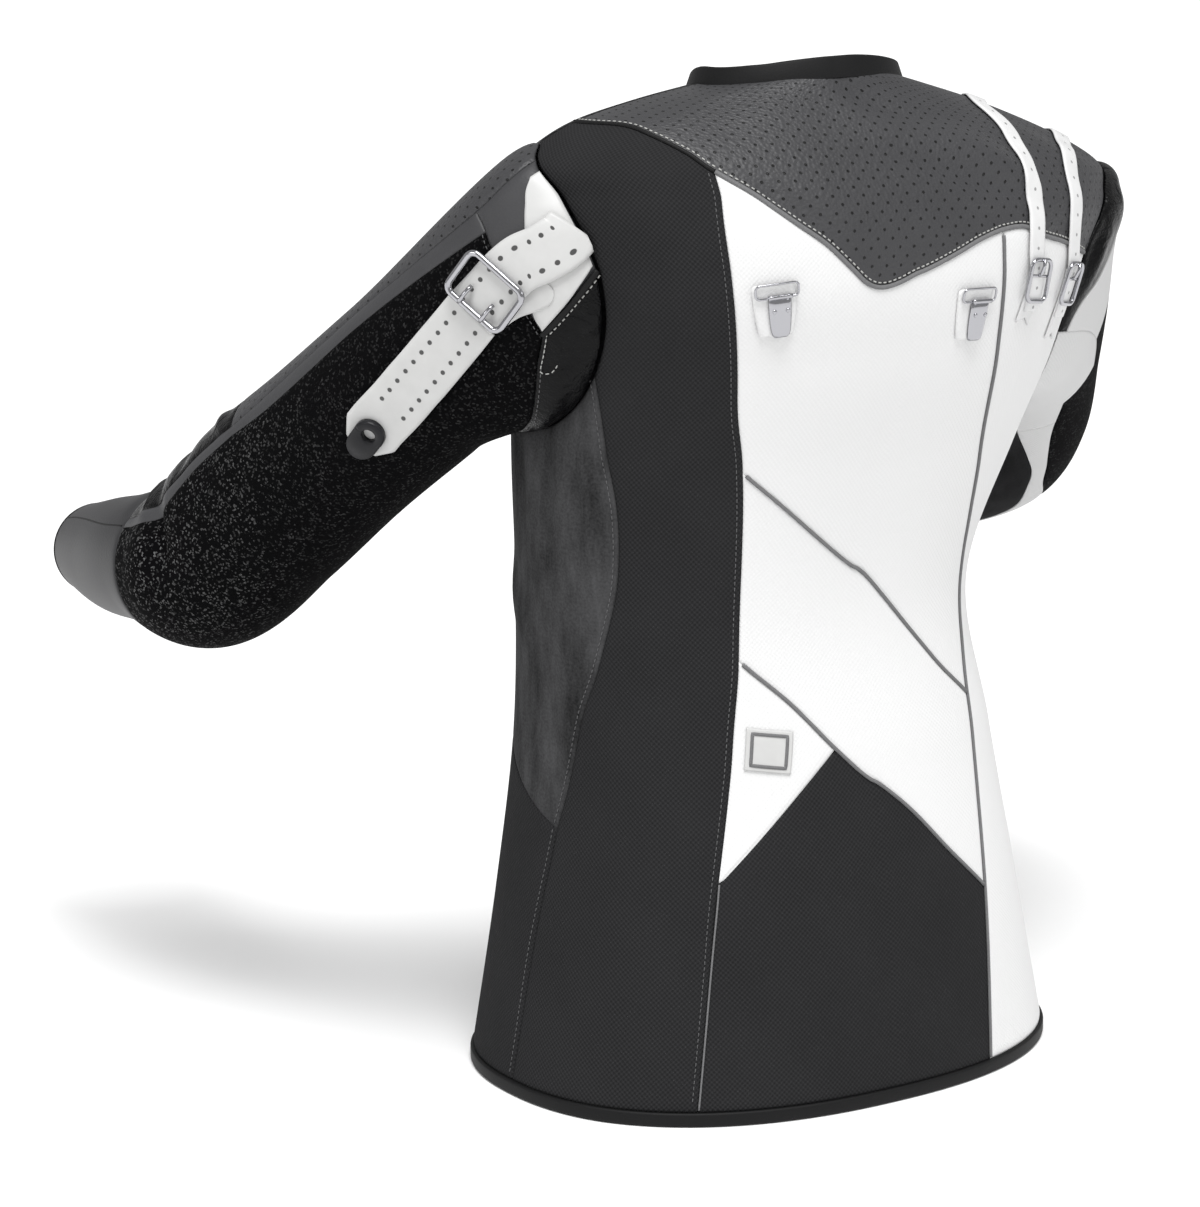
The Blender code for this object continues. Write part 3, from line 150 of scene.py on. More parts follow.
# Seams on the body
YOKE_SEAM_LEFT = ((-8, 0.658), (20, 0.658), (36, 0.652), (48, 0.642), (54.5, 0.630))
YOKE_SEAM_BACK = ((54.5, 0.630), (61.5, 0.614), (69, 0.595), (74, 0.582), (78.5, 0.566), (81.5, 0.555),
                  (84.3, 0.5515), (87.5, 0.554), (91, 0.561), (96, 0.570), (100, 0.577), (104.6, 0.582))
YOKE_SEAM_RIGHT = ((104.6, 0.582), (110, 0.583), (115.5, 0.576), (123, 0.570), (135.5, 0.5578))
PRINCESS_LEFT = ((54.5, 0.630), (53.7, 0.577), (54.8, 0.486), (59.5, 0.432), (63.0, 0.360), (62.4, 0.3055),
                 (57.6, 0.248), (52.5, 0.161), (50.8, 0.100), (50, 0.0))
PRINCESS_RIGHT = ((104.6, 0.582), (106.3, 0.530), (109.5, 0.485), (114, 0.445), (121, 0.401), (128, 0.365),
                  (132, 0.335), (131.5, 0.300), (126, 0.258), (122, 0.198), (118, 0.128), (114.4, 0.061),
                  (112, 0.0))
DIAGONAL_HIGH = ((59.5, 0.432), (73.6, 0.401), (87.5, 0.3674), (96.5, 0.3395), (108.2, 0.3029),
                 (116, 0.2801), (126, 0.258))
DIAGONAL_LOW_LEFT = ((62.4, 0.3055), (74, 0.276), (83.3, 0.242))
DIAGONAL_LOW_RIGHT = ((83.3, 0.242), (90.1, 0.2169), (97.7, 0.1915), (106.7, 0.1604), (118, 0.128))
TRIANGLE_TIP = (53.6, 0.1625)
TRIANGLE_PEAK = (83.3, 0.242)
FRONT_YOKE_LEFT = ((-90, 0.585), (-66, 0.590), (-40, 0.600))
FRONT_YOKE_RIGHT = ((196.1, 0.600), (230, 0.590), (270, 0.585))
SUEDE_SEAM = ((16, 0.494), (20.7, 0.448), (25.4, 0.405), (26.5, 0.366), (24.5, 0.336), (18, 0.294),
              (11.4, 0.260), (7, 0.215), (3.9, 0.182))
SUEDE_FOOT = ((-50, 0.250), (-24, 0.218), (3.9, 0.182))
SUEDE_FRONT = ((-40, 0.494), (-47, 0.380), (-50, 0.250))
SIDE_SEAM_LEFT = ((3.9, 0.182), (0.8, 0.107), (0, 0.0))
SIDE_SEAM_RIGHT = ((150, 0.4624), (160, 0.380), (168, 0.300), (172, 0.150), (172, 0.0))
FRONT_SEAM_RIGHT = ((193, 0.474), (222, 0.380), (228, 0.250), (230, 0.0))

# Seams on the sleeves
LEFT_TOP_EDGE = ((24, SLEEVE_START), (32, 0.024), (38, 0.043), (41, 0.075), (41, 0.110), (43, 0.170),
                 (46, 0.250))
LEFT_HEAD_SEAM = ((51, 0.043), (61, 0.043), (81, 0.040), (100, 0.033))
LEFT_STRIPE_EDGE = ((51, 0.043), (53, 0.070), (55, 0.120), (57, 0.200), (54, 0.250))
LEFT_STRIPE_TAIL = ((46, 0.250), (47, 0.335), (50, 0.400))
LEFT_GRIP_TAIL = ((54, 0.250), (56, 0.306), (58, 0.335), (57, 0.400))
LEFT_GUSSET_SIDE = ((79, SLEEVE_START), (100, 0.033))
LEFT_GUSSET_FOOT = ((100, 0.033), (117, 0.037), (150, 0.036), (215, 0.030))
RIGHT_CAP_LINE = ((116, 0.011), (108, 0.013), (100, 0.018), (90, 0.029), (65, 0.044), (30, 0.052),
                  (-70, 0.052))
RIGHT_STRIP_EDGE = ((152, 0.132), (155, 0.155), (158, 0.200), (152, 0.250), (150, 0.300))
RIGHT_INNER_EDGE = ((180, 0.132), (172, 0.165), (169, 0.197), (174, 0.245), (184, 0.300))

# Things sewn on
PATCH = ((59.9, 0.2346), (61.8, 0.2622), (73.6, 0.2572), (71.5, 0.2296))
CLIPS = {"left": (62.6, 0.543), "right": (99.0, 0.529)}
STRAPS = {
    "inner": {"path": ((202, 0.660), (180, 0.669), (155, 0.671), (128, 0.664), (116, 0.643), (113.7, 0.625),
                       (112.9, 0.600), (112.7, 0.572), (113.8, 0.548), (114.4, 0.525)),
              "buckle": (114.6, 0.5460), "tab": ((114.8, 0.556), (113.2, 0.516))},
    "outer": {"path": ((200, 0.642), (184, 0.652), (165, 0.654), (146, 0.650), (134, 0.640), (128.6, 0.628),
                       (126.6, 0.610), (125.6, 0.587), (126.4, 0.565), (128.0, 0.545), (128.5, 0.516)),
              "buckle": (128.4, 0.5400), "tab": ((128.2, 0.549), (128.6, 0.500))},
}
SLING_HIGH = ((62, 0.004), (66, 0.012), (69, 0.024), (70, 0.033), (73, 0.041), (78, 0.0500), (82, 0.0570))
SLING_LOW = ((83, 0.058), (93, 0.072), (104, 0.089), (113, 0.109), (118, 0.142))
SLING_BUCKLE = (76, 0.049)
SLING_ANCHOR = ((34, 0.003), (77, 0.003), (98, 0.0325), (36, 0.010))
SLING_ANCHOR_FOOT = ((36, 0.010), (46, 0.020), (70, 0.031), (89, 0.035), (98, 0.0325))
SLING_TAIL = ((87.5, 0.0500), (85.0, 0.0420), (84.4, 0.0345), (82.8, 0.0245))
BUTTON_HEIGHTS = (0.060, 0.200, 0.340, 0.480)

# name and thread of each piece of stitching, and its rows: form, seam, metres beside it, points to
# follow it by, thickness, lift
STITCHING = (
    ("yoke", "thread", (("body", YOKE_SEAM_LEFT, -0.0030, 60, 0.00045, 0.0002),
                        ("body", YOKE_SEAM_BACK, -0.0030, 160, 0.00045, 0.0002),
                        ("body", YOKE_SEAM_RIGHT, -0.0030, 60, 0.00045, 0.0002))),
    ("body", "dark_thread", (("body", (*PRINCESS_LEFT[:-1], (50, 0.012)), 0.0045, 160, 0.0003, 0.0002),
                             ("body", SUEDE_SEAM, 0.0035, 100, 0.0003, 0.0002),
                             ("body", (*SIDE_SEAM_LEFT[:-1], (0, 0.012)), 0.0035, 60, 0.0003, 0.0002),
                             ("body", (*SIDE_SEAM_RIGHT[:-1], (172, 0.012)), 0.0035, 60, 0.0003, 0.0002),
                             ("body", (*FRONT_SEAM_RIGHT[:-1], (230, 0.012)), 0.0035, 60, 0.0003, 0.0002))),
    ("gusset", "thread", (("left", LEFT_GUSSET_SIDE, 0.0030, 30, 0.00045, 0.0010),
                          ("left", ((99, 0.0305), (108, 0.0330), (115.5, 0.0345), (116.5, 0.0290),
                                    (112, 0.0250)),
                           0.0, 40, 0.00034, 0.0018))),
    ("sleeve", "dark_thread", (("left", LEFT_HEAD_SEAM, -0.0024, 40, 0.0003, 0.0002),
                               ("left", LEFT_GUSSET_FOOT, 0.0030, 60, 0.0003, 0.0002))),
)


def linear(code):
    """An sRGB hex colour as linear red, green and blue."""
    shares = [int(code[i:i + 2], 16) / 255 for i in (1, 3, 5)]
    return [s / 12.92 if s <= 0.04045 else ((s + 0.055) / 1.055) ** 2.4 for s in shares]


# What a user may change
def size(name, default, description):
    return bpy.props.FloatProperty(name=name, description=description, default=default, unit="LENGTH",
                                   subtype="DISTANCE")


class JacketSizes(bpy.types.PropertyGroup):
    canvas: size("Canvas", 0.0024, "Thickness of the double canvas with its lining")
    leather: size("Leather", 0.0022, "Thickness of the yoke, sleeve and cuff leather")
    seam_dip: size("Seam dip", 0.0009, "How far a panel sinks at its sewn edge")
    piping: size("Piping", 0.0030, "Width of the flat piping")
    strap: size("Shoulder strap", 0.015, "Width of a shoulder strap")
    sling: size("Sling strap", 0.040, "Width of the strap that holds the sling")
    stitch: size("Stitch", 0.0040, "Pitch of the topstitching")
    holes: size("Perforation", 0.0082, "Side of the square between the holes of the perforated leather")


def colour(name, code, description):
    return bpy.props.FloatVectorProperty(name=name, description=description, default=linear(code),
                                         size=3, min=0, max=1, subtype="COLOR")


class JacketColours(bpy.types.PropertyGroup):
    yoke: colour("Yoke leather", "#3a3a3c", "Perforated leather of the yoke and left sleeve")
    canvas_dark: colour("Dark canvas", "#29292a", "Dark woven panels")
    canvas_white: colour("White canvas", "#e0e0e0", "White woven panels")
    # painted shade: the right sleeve's white canvas, greyed where that sleeve lies in shade
    canvas_sleeve_shaded: colour("Sleeve canvas", "#cbcbcb", "Pale woven panels of the right sleeve")
    suede: colour("Suede", "#3c3c3d", "Brushed panel under the left arm")
    # painted shade: a darker copy of the suede, for the shaded inside of the right sleeve
    suede_shaded: colour("Dark suede", "#1b1b1c", "Brushed panel inside the right sleeve")
    grip: colour("Grip rubber", "#070708", "Rough rubber on the sleeves")
    nappa: colour("Smooth leather", "#040405", "Glossy leather at the armholes and front yokes")
    cuff: colour("Cuff leather", "#28282a", "Leather of the left cuff")
    stripe: colour("Stripe leather", "#39393b", "Leather stripe and head of the left sleeve")
    piping: colour("Piping", "#6e6e6f", "Piping along the seams")
    binding: colour("Binding", "#0a0a0b", "Bound hem and collar")
    strap: colour("Straps", "#c6c6c5", "Coated sling strap, anchor and patch")
    strap_shoulder: colour("Shoulder straps", "#dadada", "Coated straps over the right shoulder")
    tab: colour("Strap tabs", "#d6d6d6", "Tabs that hold the shoulder buckles")
    lining: colour("Lining", "#56565a", "Inside of the jacket")
    steel: colour("Plated steel", "#adadb1", "Buckles and clips")
    plastic: colour("Moulded nylon", "#17171a", "Hook and buttons")
    thread: colour("Thread", "#adadaa", "Light topstitching")
    thread_dark: colour("Dark thread", "#5a5a5b", "Topstitching of the dark panels")


# Forms
def table_curve(table, at):
    """Smooth curve through the rows of a table, read at the keys in its first number column."""
    values = np.array([row[1:] for row in table], float)
    keys = values[:, 0]
    at = np.clip(np.asarray(at, float), keys[0], keys[-1])
    step = np.diff(keys)[:, None]
    slope = np.diff(values, axis=0) / step
    middle = (slope[:-1] * step[1:] + slope[1:] * step[:-1]) / (step[1:] + step[:-1])
    tangent = np.vstack([slope[:1], middle, slope[-1:]])
    row = np.clip(np.searchsorted(keys, at, side="right") - 1, 0, len(keys) - 2)
    h = step[row, 0][..., None]
    t = (at - keys[row])[..., None] / h
    return ((2 * t**3 - 3 * t**2 + 1) * values[row] + (t**3 - 2 * t**2 + t) * h * tangent[row]
            + (3 * t**2 - 2 * t**3) * values[row + 1] + (t**3 - t**2) * h * tangent[row + 1])


def bare_body(around, up):
    """The body without its folds: a rounded oval at each height, its rim tilted towards the shoulders."""
    k = table_curve(BODY, up)
    back, front, left, right, wide_left, wide_right, deep_back, deep_front, shift_x, shift_y, square = (
        k[..., i] for i in range(11))
    turn = np.radians(around)
    c, s = np.cos(turn), np.sin(turn)
    x = (shift_x * (1 - np.clip(-s, 0, 1) ** 2)
         + np.where(c > 0, wide_left, wide_right) * np.sign(c) * np.abs(c) ** (2 / square))
    y = shift_y + np.where(s > 0, deep_back, deep_front) * np.sign(s) * np.abs(s) ** (2 / square)
    z = np.where(s > 0, back, front) * s * s + np.where(c > 0, left, right) * c * c
    return np.stack([x, y, z], -1)


def armhole(side, around):
    """The armhole's edge on the body, at the sleeve's own degrees."""
    centre, height, half_degrees, half_height = ARMHOLES[side]
    turn = np.radians(around)
    outward = 1 if side == "left" else -1
    return bare_body(centre + outward * half_degrees * np.sin(turn), height + half_height * np.cos(turn))


def sleeve_ring(side, around, along):
    """An oval square to the sleeve's bent centre line."""
    table = LEFT_SLEEVE if side == "left" else RIGHT_SLEEVE
    k = table_curve(table, along)
    way = unit((table_curve(table, along + 0.012) - table_curve(table, along - 0.012))[..., 1:4])
    across = unit(np.cross(way, (0.0, 0.0, 1.0)))
    top = np.cross(across, way)
    outward = -1 if side == "left" else 1
    turn = np.radians(around)
    return (k[..., 1:4] + top * (k[..., 4] * np.cos(turn))[..., None]
            + across * (outward * k[..., 5] * np.sin(turn))[..., None])


def bare_sleeve(side, around, along):
    """A sleeve without its folds: ovals down the arm, and above them a smooth head to the armhole."""
    first = (LEFT_SLEEVE if side == "left" else RIGHT_SLEEVE)[0][1]
    ring = sleeve_ring(side, around, np.maximum(along, first))
    rim = armhole(side, around)
    start = sleeve_ring(side, around, np.full(np.shape(around), first))
    onward = (sleeve_ring(side, around, np.full(np.shape(around), first + 0.004)) - start) / 0.004
    reach = np.linalg.norm(start - rim, axis=-1, keepdims=True)
    centre = math.radians(ARMHOLES[side][0])
    leave = np.array((math.cos(centre), math.sin(centre), 0.0))
    turn = np.radians(around)
    up, out, down, inside = HEAD[side]
    c, s = np.cos(turn), np.sin(turn)
    strength = np.where(c > 0, up, down) * c * c + np.where(s > 0, out, inside) * s * s
    t = np.clip(along / first, 0, 1)[..., None]
    head = ((2 * t**3 - 3 * t**2 + 1) * rim + (3 * t**2 - 2 * t**3) * start
            + (t**3 - 2 * t**2 + t) * reach * strength[..., None] * leave + (t**3 - t**2) * reach * onward)
    return np.where(t < 1, head, ring)


def unit(vectors):
    return vectors / np.maximum(np.linalg.norm(vectors, axis=-1, keepdims=True), 1e-12)


def bare_form(form, around, along):
    around, along = np.broadcast_arrays(np.asarray(around, float), np.asarray(along, float))
    return bare_body(around, along) if form == "body" else bare_sleeve(form, around, along)


def slopes(form, around, along, shape):
    """How a form moves per degree round it and per metre along it."""
    along = np.clip(along, 0, END[form])
    low, high = np.clip(along - CHART_STEP, 0, END[form]), np.clip(along + CHART_STEP, 0, END[form])
    per_degree = (shape(form, around + DEGREE_STEP, along)
                  - shape(form, around - DEGREE_STEP, along)) / (2 * DEGREE_STEP)
    per_metre = (shape(form, around, high) - shape(form, around, low)) / (high - low)[..., None]
    return per_degree, per_metre


def outward_normal(form, around, along, shape):
    per_degree, per_metre = slopes(form, around, along, shape)
    normal = np.cross(per_degree, per_metre)
    return unit(-normal if form == "left" else normal)


def fold_height(form, around, along):
    """Height of the folds at a place: each is a soft ridge or trough along a line on the form."""
    degree = 0.0030 if form == "body" else 0.0011
    height = np.zeros(np.shape(around))
    for start, near, end, far, breadth, rise in FOLDS[form]:
        way = np.array([(end - start) * degree, far - near])
        reach = np.stack([(around - start) * degree, along - near], -1)
        t = np.clip(reach @ way / (way @ way), 0, 1)
        off = reach - t[..., None] * way
        fade = np.sin(np.pi * np.clip(0.08 + 0.84 * t, 0, 1))
        height = height + rise * fade * np.exp(-(off ** 2).sum(-1) / (2 * breadth ** 2))
    return height


def form_point(form, around, along):
    around, along = np.broadcast_arrays(np.asarray(around, float), np.asarray(along, float))
    normal = outward_normal(form, around, along, bare_form)
    return bare_form(form, around, along) + normal * fold_height(form, around, along)[..., None]


def on_form(form, chart, lift=0.0):
    """Points on a form, moved out along its normal by lift, and the normals there."""
    chart = np.asarray(chart, float)
    around, along = chart[..., 0], chart[..., 1]
    normal = outward_normal(form, around, along, form_point)
    return form_point(form, around, along) + normal * np.asarray(lift)[..., None], normal


METRIC = {}
METRIC_FROM, METRIC_TO, METRIC_STEP = -99.0, 352.0, 3.0      # degrees
METRIC_ROWS = 120


def cloth_uv(form, chart):
    """Metres round and along a form at each place, so that a weave keeps its real scale."""
    if form not in METRIC:
        around = np.arange(METRIC_FROM, METRIC_TO, METRIC_STEP)
        along = np.linspace(0, END[form], METRIC_ROWS)
        points = bare_form(form, around[None], along[:, None])
        u = np.pad(np.linalg.norm(np.diff(points, axis=1), axis=-1).cumsum(1), ((0, 0), (1, 0)))
        v = np.pad(np.linalg.norm(np.diff(points, axis=0), axis=-1).cumsum(0), ((1, 0), (0, 0)))
        back = round((90 - METRIC_FROM) / METRIC_STEP)
        u = u - u[:, back:back + 1]
        METRIC[form] = np.stack([u, v], -1)
    table = METRIC[form]

    def look(around, along):
        column = np.clip((around - METRIC_FROM) / METRIC_STEP, 0, table.shape[1] - 1.001)
        row = np.clip(along / END[form] * (METRIC_ROWS - 1), 0, METRIC_ROWS - 1.001)
        i, j = row.astype(int), column.astype(int)
        a, b = (row - i)[..., None], (column - j)[..., None]
        return ((1 - a) * ((1 - b) * table[i, j] + b * table[i, j + 1])
                + a * ((1 - b) * table[i + 1, j] + b * table[i + 1, j + 1]))
    around, along = chart[..., 0], chart[..., 1]
    uv = look(around, along)
    uv[..., 0] -= look(np.full_like(around, around.mean()), along)[..., 0]
    return uv


# Seams and grids
def lengths(form, line):
    points = form_point(form, line[:, 0], line[:, 1])
    return np.concatenate([[0], np.cumsum(np.linalg.norm(np.diff(points, axis=0), axis=1))])


def smooth_line(line, start=0, end=None):
    line = np.asarray(line, float)
    end = len(line) - 1 if end is None else end
    if len(line) > 2:
        table = [("", i, *point) for i, point in enumerate(line)]
        return table_curve(table, np.linspace(start, end, 12 * (end - start) + 1))[:, 1:]
    return line[0] + (line[1] - line[0]) * np.linspace(0, 1, 13)[:, None]


def divided(form, line, cells, start=0, end=None):
    """A seam, or its stretch between two of its points, cut into equal fine cells along a smooth curve."""
    line = smooth_line(line, start, end)
    run = lengths(form, line)
    at = np.linspace(0, run[-1], cells * FINE + 1)
    return np.stack([np.interp(at, run, line[:, 0]), np.interp(at, run, line[:, 1])], -1)


def joined(form, *parts):
    """Several seams end to end, each with its own number of cells."""
    lines = [divided(form, *part) for part in parts]
    return np.concatenate([lines[0]] + [line[1:] for line in lines[1:]])


def armhole_arc(side, start, end):
    """Part of an armhole as a line on the body, between two of the sleeve's degrees."""
    centre, height, half_degrees, half_height = ARMHOLES[side]
    outward = 1 if side == "left" else -1
    turn = np.radians(np.linspace(start, end, 11))
    return np.stack([centre + outward * half_degrees * np.sin(turn), height + half_height * np.cos(turn)], -1)


def patch(top, bottom, left, right):
    """Grid of places between four seams. Top and bottom run left to right, left and right downwards."""
    across = np.linspace(0, 1, len(top))[None, :, None]
    down = np.linspace(0, 1, len(left))[:, None, None]
    grid = ((1 - down) * top[None] + down * bottom[None]
            + (1 - across) * left[:, None] + across * right[:, None])
    corners = ((1 - down) * (1 - across) * top[0] + (1 - down) * across * top[-1]
               + down * (1 - across) * bottom[0] + down * across * bottom[-1])
    return grid - corners


def seam_rows(form, grid):
    """Pulls the rim of a grid in by the seam gap and adds a row close to each of its four sides."""
    for turned in (False, True):
        grid = np.swapaxes(grid, 0, 1) if turned else grid
        for _ in range(2):
            first, second = grid[0], grid[1]
            step = np.linalg.norm(form_point(form, second[:, 0], second[:, 1])
                                  - form_point(form, first[:, 0], first[:, 1]), axis=-1, keepdims=True)
            step = np.maximum(step, 1e-6)
            edge = first + (second - first) * np.minimum(SEAM_GAP / step, 0.1)
            inner = first + (second - first) * np.minimum(SEAM_ROW / step, 0.5)
            grid = np.concatenate([edge[None], inner[None], grid[1:]])[::-1]
        grid = np.swapaxes(grid, 0, 1) if turned else grid
    return grid


def sideways(form, line):
    """Places along a line, and the change of place for a metre to its side on the form."""
    per_degree, per_metre = slopes(form, line[:, 0], line[:, 1], form_point)
    way = np.gradient(form_point(form, line[:, 0], line[:, 1]), axis=0)
    side = unit(np.cross(way, np.cross(per_degree, per_metre)))
    return np.array([np.linalg.lstsq(np.stack([a, b], 1), d, rcond=None)[0]
                     for a, b, d in zip(per_degree, per_metre, side)])


def strip_grid(form, line, cells, wide, across=2, taper=None):
    """Grid of places along a line on a form, so many metres wide."""
    line = divided(form, line, cells)
    half = wide / 2 * (np.ones(len(line)) if taper is None else np.asarray(taper))
    spread = np.linspace(-1, 1, across + 1)
    return line[:, None] + sideways(form, line)[:, None] * (spread[None, :] * half[:, None])[..., None]


def beside(form, line, metres, cells):
    """A line that runs beside another on the form."""
    line = smooth_line(line)
    run = lengths(form, line)
    at = np.linspace(0, run[-1], cells + 1)
    line = np.stack([np.interp(at, run, line[:, 0]), np.interp(at, run, line[:, 1])], -1)
    return line + sideways(form, line) * metres


# Materials
def add(tree, kind, inputs=None, **settings):
    """Adds a shader node with its settings; an input is a value or another node's output."""
    made = tree.nodes.new("ShaderNode" + kind)
    for key, value in settings.items():
        setattr(made, key, value)
    for socket, value in (inputs or {}).items():
        if isinstance(value, bpy.types.NodeSocket):
            tree.links.new(value, made.inputs[socket])
        else:
            made.inputs[socket].default_value = value
    return made


def maths(tree, operation, *values):
    return add(tree, "Math", dict(enumerate(values)), operation=operation).outputs[0]


def ranged(tree, value, low, high, least, most):
    """A value brought from between low and high to between least and most."""
    return add(tree, "MapRange", {"Value": value, "From Min": low, "From Max": high,
                                  "To Min": least, "To Max": most}).outputs[0]


def noise(tree, where, scale, detail, **more):
    return add(tree, "TexNoise", {"Vector": where, "Scale": scale, "Detail": detail, **more}).outputs["Fac"]


def tint(tree, shader, rgb, value):
    """Lightens and darkens the material's colour by a value."""
    made = add(tree, "HueSaturation", {"Color": (*rgb, 1), "Value": value})
    tree.links.new(made.outputs[0], shader.inputs["Base Color"])


def bump(tree, shader, height, strength, depth):
    made = add(tree, "Bump", {"Height": height, "Strength": strength, "Distance": depth})
    tree.links.new(made.outputs[0], shader.inputs["Normal"])


def blank(name, rgb, roughness, metallic=0.0, ior=1.5, **extra):
    """A Principled material, its tree, its shader, and its places as UV and Object outputs."""
    material = bpy.data.materials.new(name)
    material.use_nodes = True
    tree = material.node_tree
    shader = tree.nodes["Principled BSDF"]
    shader.inputs["Base Color"].default_value = (*rgb, 1)
    shader.inputs["Roughness"].default_value = roughness
    shader.inputs["Metallic"].default_value = metallic
    if not metallic:
        shader.inputs["IOR"].default_value = ior
    for socket, value in extra.items():
        shader.inputs[socket.replace("_", " ")].default_value = value
    material.diffuse_color = (*rgb, 1)
    places = add(tree, "TexCoord").outputs
    return material, tree, shader, places["UV"], places["Object"]


def woven_canvas(name, rgb, depth, contrast):
    """Polyester canvas in plain weave, so matt, with its threads just showing and faint slubs.
    The real ribs stand about 1.7 mm apart, and the pitch of two of them keeps them just visible."""
    material, tree, shader, uv, _ = blank(name, rgb, 0.95, Specular_IOR_Level=0.08)
    split = add(tree, "SeparateXYZ", {0: uv}).outputs
    waves = [maths(tree, "SINE", maths(tree, "MULTIPLY", split[axis], 2 * math.pi / WEAVE_PITCH))
             for axis in "XY"]
    threads = maths(tree, "MULTIPLY", *waves)
    slubs = maths(tree, "MULTIPLY_ADD", noise(tree, uv, 14.0, 4.0, Roughness=0.6), 0.35, 0.325)
    share = maths(tree, "MULTIPLY_ADD", threads, 0.25, slubs)
    tint(tree, shader, rgb, ranged(tree, share, 0.25, 0.75, 1 - contrast, 1 + contrast))
    bump(tree, shader, threads, 0.6, depth)
    return material


def grain_leather(name, rgb, roughness, grain, depth, holes=0.0):
    """Finished cowhide: a pebbled grain pressed into a satin coat, with punched holes where holes
    gives the side of their lattice, which stands on its corner."""
    material, tree, shader, uv, _ = blank(name, rgb, roughness, Specular_IOR_Level=0.4)
    pebbles = add(tree, "TexVoronoi", {"Vector": uv, "Scale": 1 / grain}, feature="SMOOTH_F1",
                  voronoi_dimensions="2D")
    height = maths(tree, "MULTIPLY", pebbles.outputs["Distance"], noise(tree, uv, 0.4 / grain, 5.0))
    value = ranged(tree, noise(tree, uv, 9.0, 6.0, Roughness=0.7), 0.3, 0.7, 0.88, 1.12)
    if holes:
        lattice = add(tree, "Mapping", {"Vector": uv, "Rotation": (0, 0, math.radians(45)),
                                        "Scale": (1 / holes, 1 / holes, 1)})
        cells = add(tree, "TexVoronoi", {"Vector": lattice.outputs[0], "Scale": 1.0, "Randomness": 0.0},
                    voronoi_dimensions="2D")
        edge = HOLE_WIDE / holes
        leather = ranged(tree, cells.outputs["Distance"], 0.40 * edge, 0.60 * edge, 0.0, 1.0)
        value = maths(tree, "MULTIPLY", value, leather)
        height = maths(tree, "MULTIPLY_ADD", leather, 3.0, height)
    tint(tree, shader, rgb, value)
    bump(tree, shader, height, 0.7, depth)
    return material


def brushed_suede(name, rgb):
    """Split hide, brushed: no gloss, a fine grain of fibres, and over it darker and lighter streaks along the
    panel, which are painted shade and light of its soft creases and of the sheen where the hairs lie two
    ways.
    """
    material, tree, shader, uv, _ = blank(name, rgb, 0.95, Specular_IOR_Level=0.1)
    # streaks stretched along the panel: painted shade and light of its creases and sheen
    stretched = add(tree, "Mapping", {"Vector": uv, "Scale": (1, 0.35, 1)}).outputs[0]
    fibres = noise(tree, uv, 520.0, 2.0)
    fibres_and_painted_creases = maths(tree, "MULTIPLY_ADD", fibres, 0.35, noise(tree, stretched, 38.0, 6.0, Roughness=0.62))
    tint(tree, shader, rgb, ranged(tree, fibres_and_painted_creases, 0.45, 0.95, 0.30, 1.75))
    bump(tree, shader, fibres, 0.5, 0.0005)
    return material


def crumb_rubber(name, rgb):
    """Rubber crumb bonded to cloth: near black and rough, with painted glints on single crumbs, more of them
    further along the sleeve.
    Crumbs are 1.3 mm here, about twice their real size, so that they show."""
    material, tree, shader, uv, spot = blank(name, rgb, 0.95, ior=1.52, Specular_IOR_Level=0.05)
    crumbs = add(tree, "TexVoronoi", {"Vector": spot, "Scale": 1 / 0.0013})
    grains = add(tree, "SeparateColor", {0: crumbs.outputs["Color"]}).outputs
    # painted glints: the brightest crumbs turn light grey, the more so further along the sleeve
    bright = ranged(tree, grains[0], 0.78, 1.0, 0.0, 1.0)
    lower = ranged(tree, add(tree, "SeparateXYZ", {0: uv}).outputs["Y"], 0.22, 0.42, 0.18, 0.75)
    share = maths(tree, "MULTIPLY", maths(tree, "MULTIPLY", bright, lower), noise(tree, uv, 30.0, 4.0))
    glint_mix = add(tree, "Mix", data_type="RGBA")
    for socket, value in (("A", (*rgb, 1)), ("B", (*linear("#8c8c8c"), 1))):
        glint_mix.inputs[socket].default_value = value
    tree.links.new(share, glint_mix.inputs["Factor"])
    tree.links.new(glint_mix.outputs["Result"], shader.inputs["Base Color"])
    bump(tree, shader, grains[1], 0.9, 0.0006)
    return material


def nappa(name, rgb):
    """Soft drum-dyed nappa: almost no grain and a gloss that draws every wrinkle."""
    material, tree, shader, _, spot = blank(name, rgb, 0.30, Specular_IOR_Level=0.14)
    pores = add(tree, "TexVoronoi", {"Vector": spot, "Scale": 700.0}).outputs["Distance"]
    wrinkles = noise(tree, spot, 55.0, 5.0, Distortion=0.8)
    bump(tree, shader, maths(tree, "MULTIPLY_ADD", pores, 0.10, wrinkles), 0.6, 0.0050)
    return material


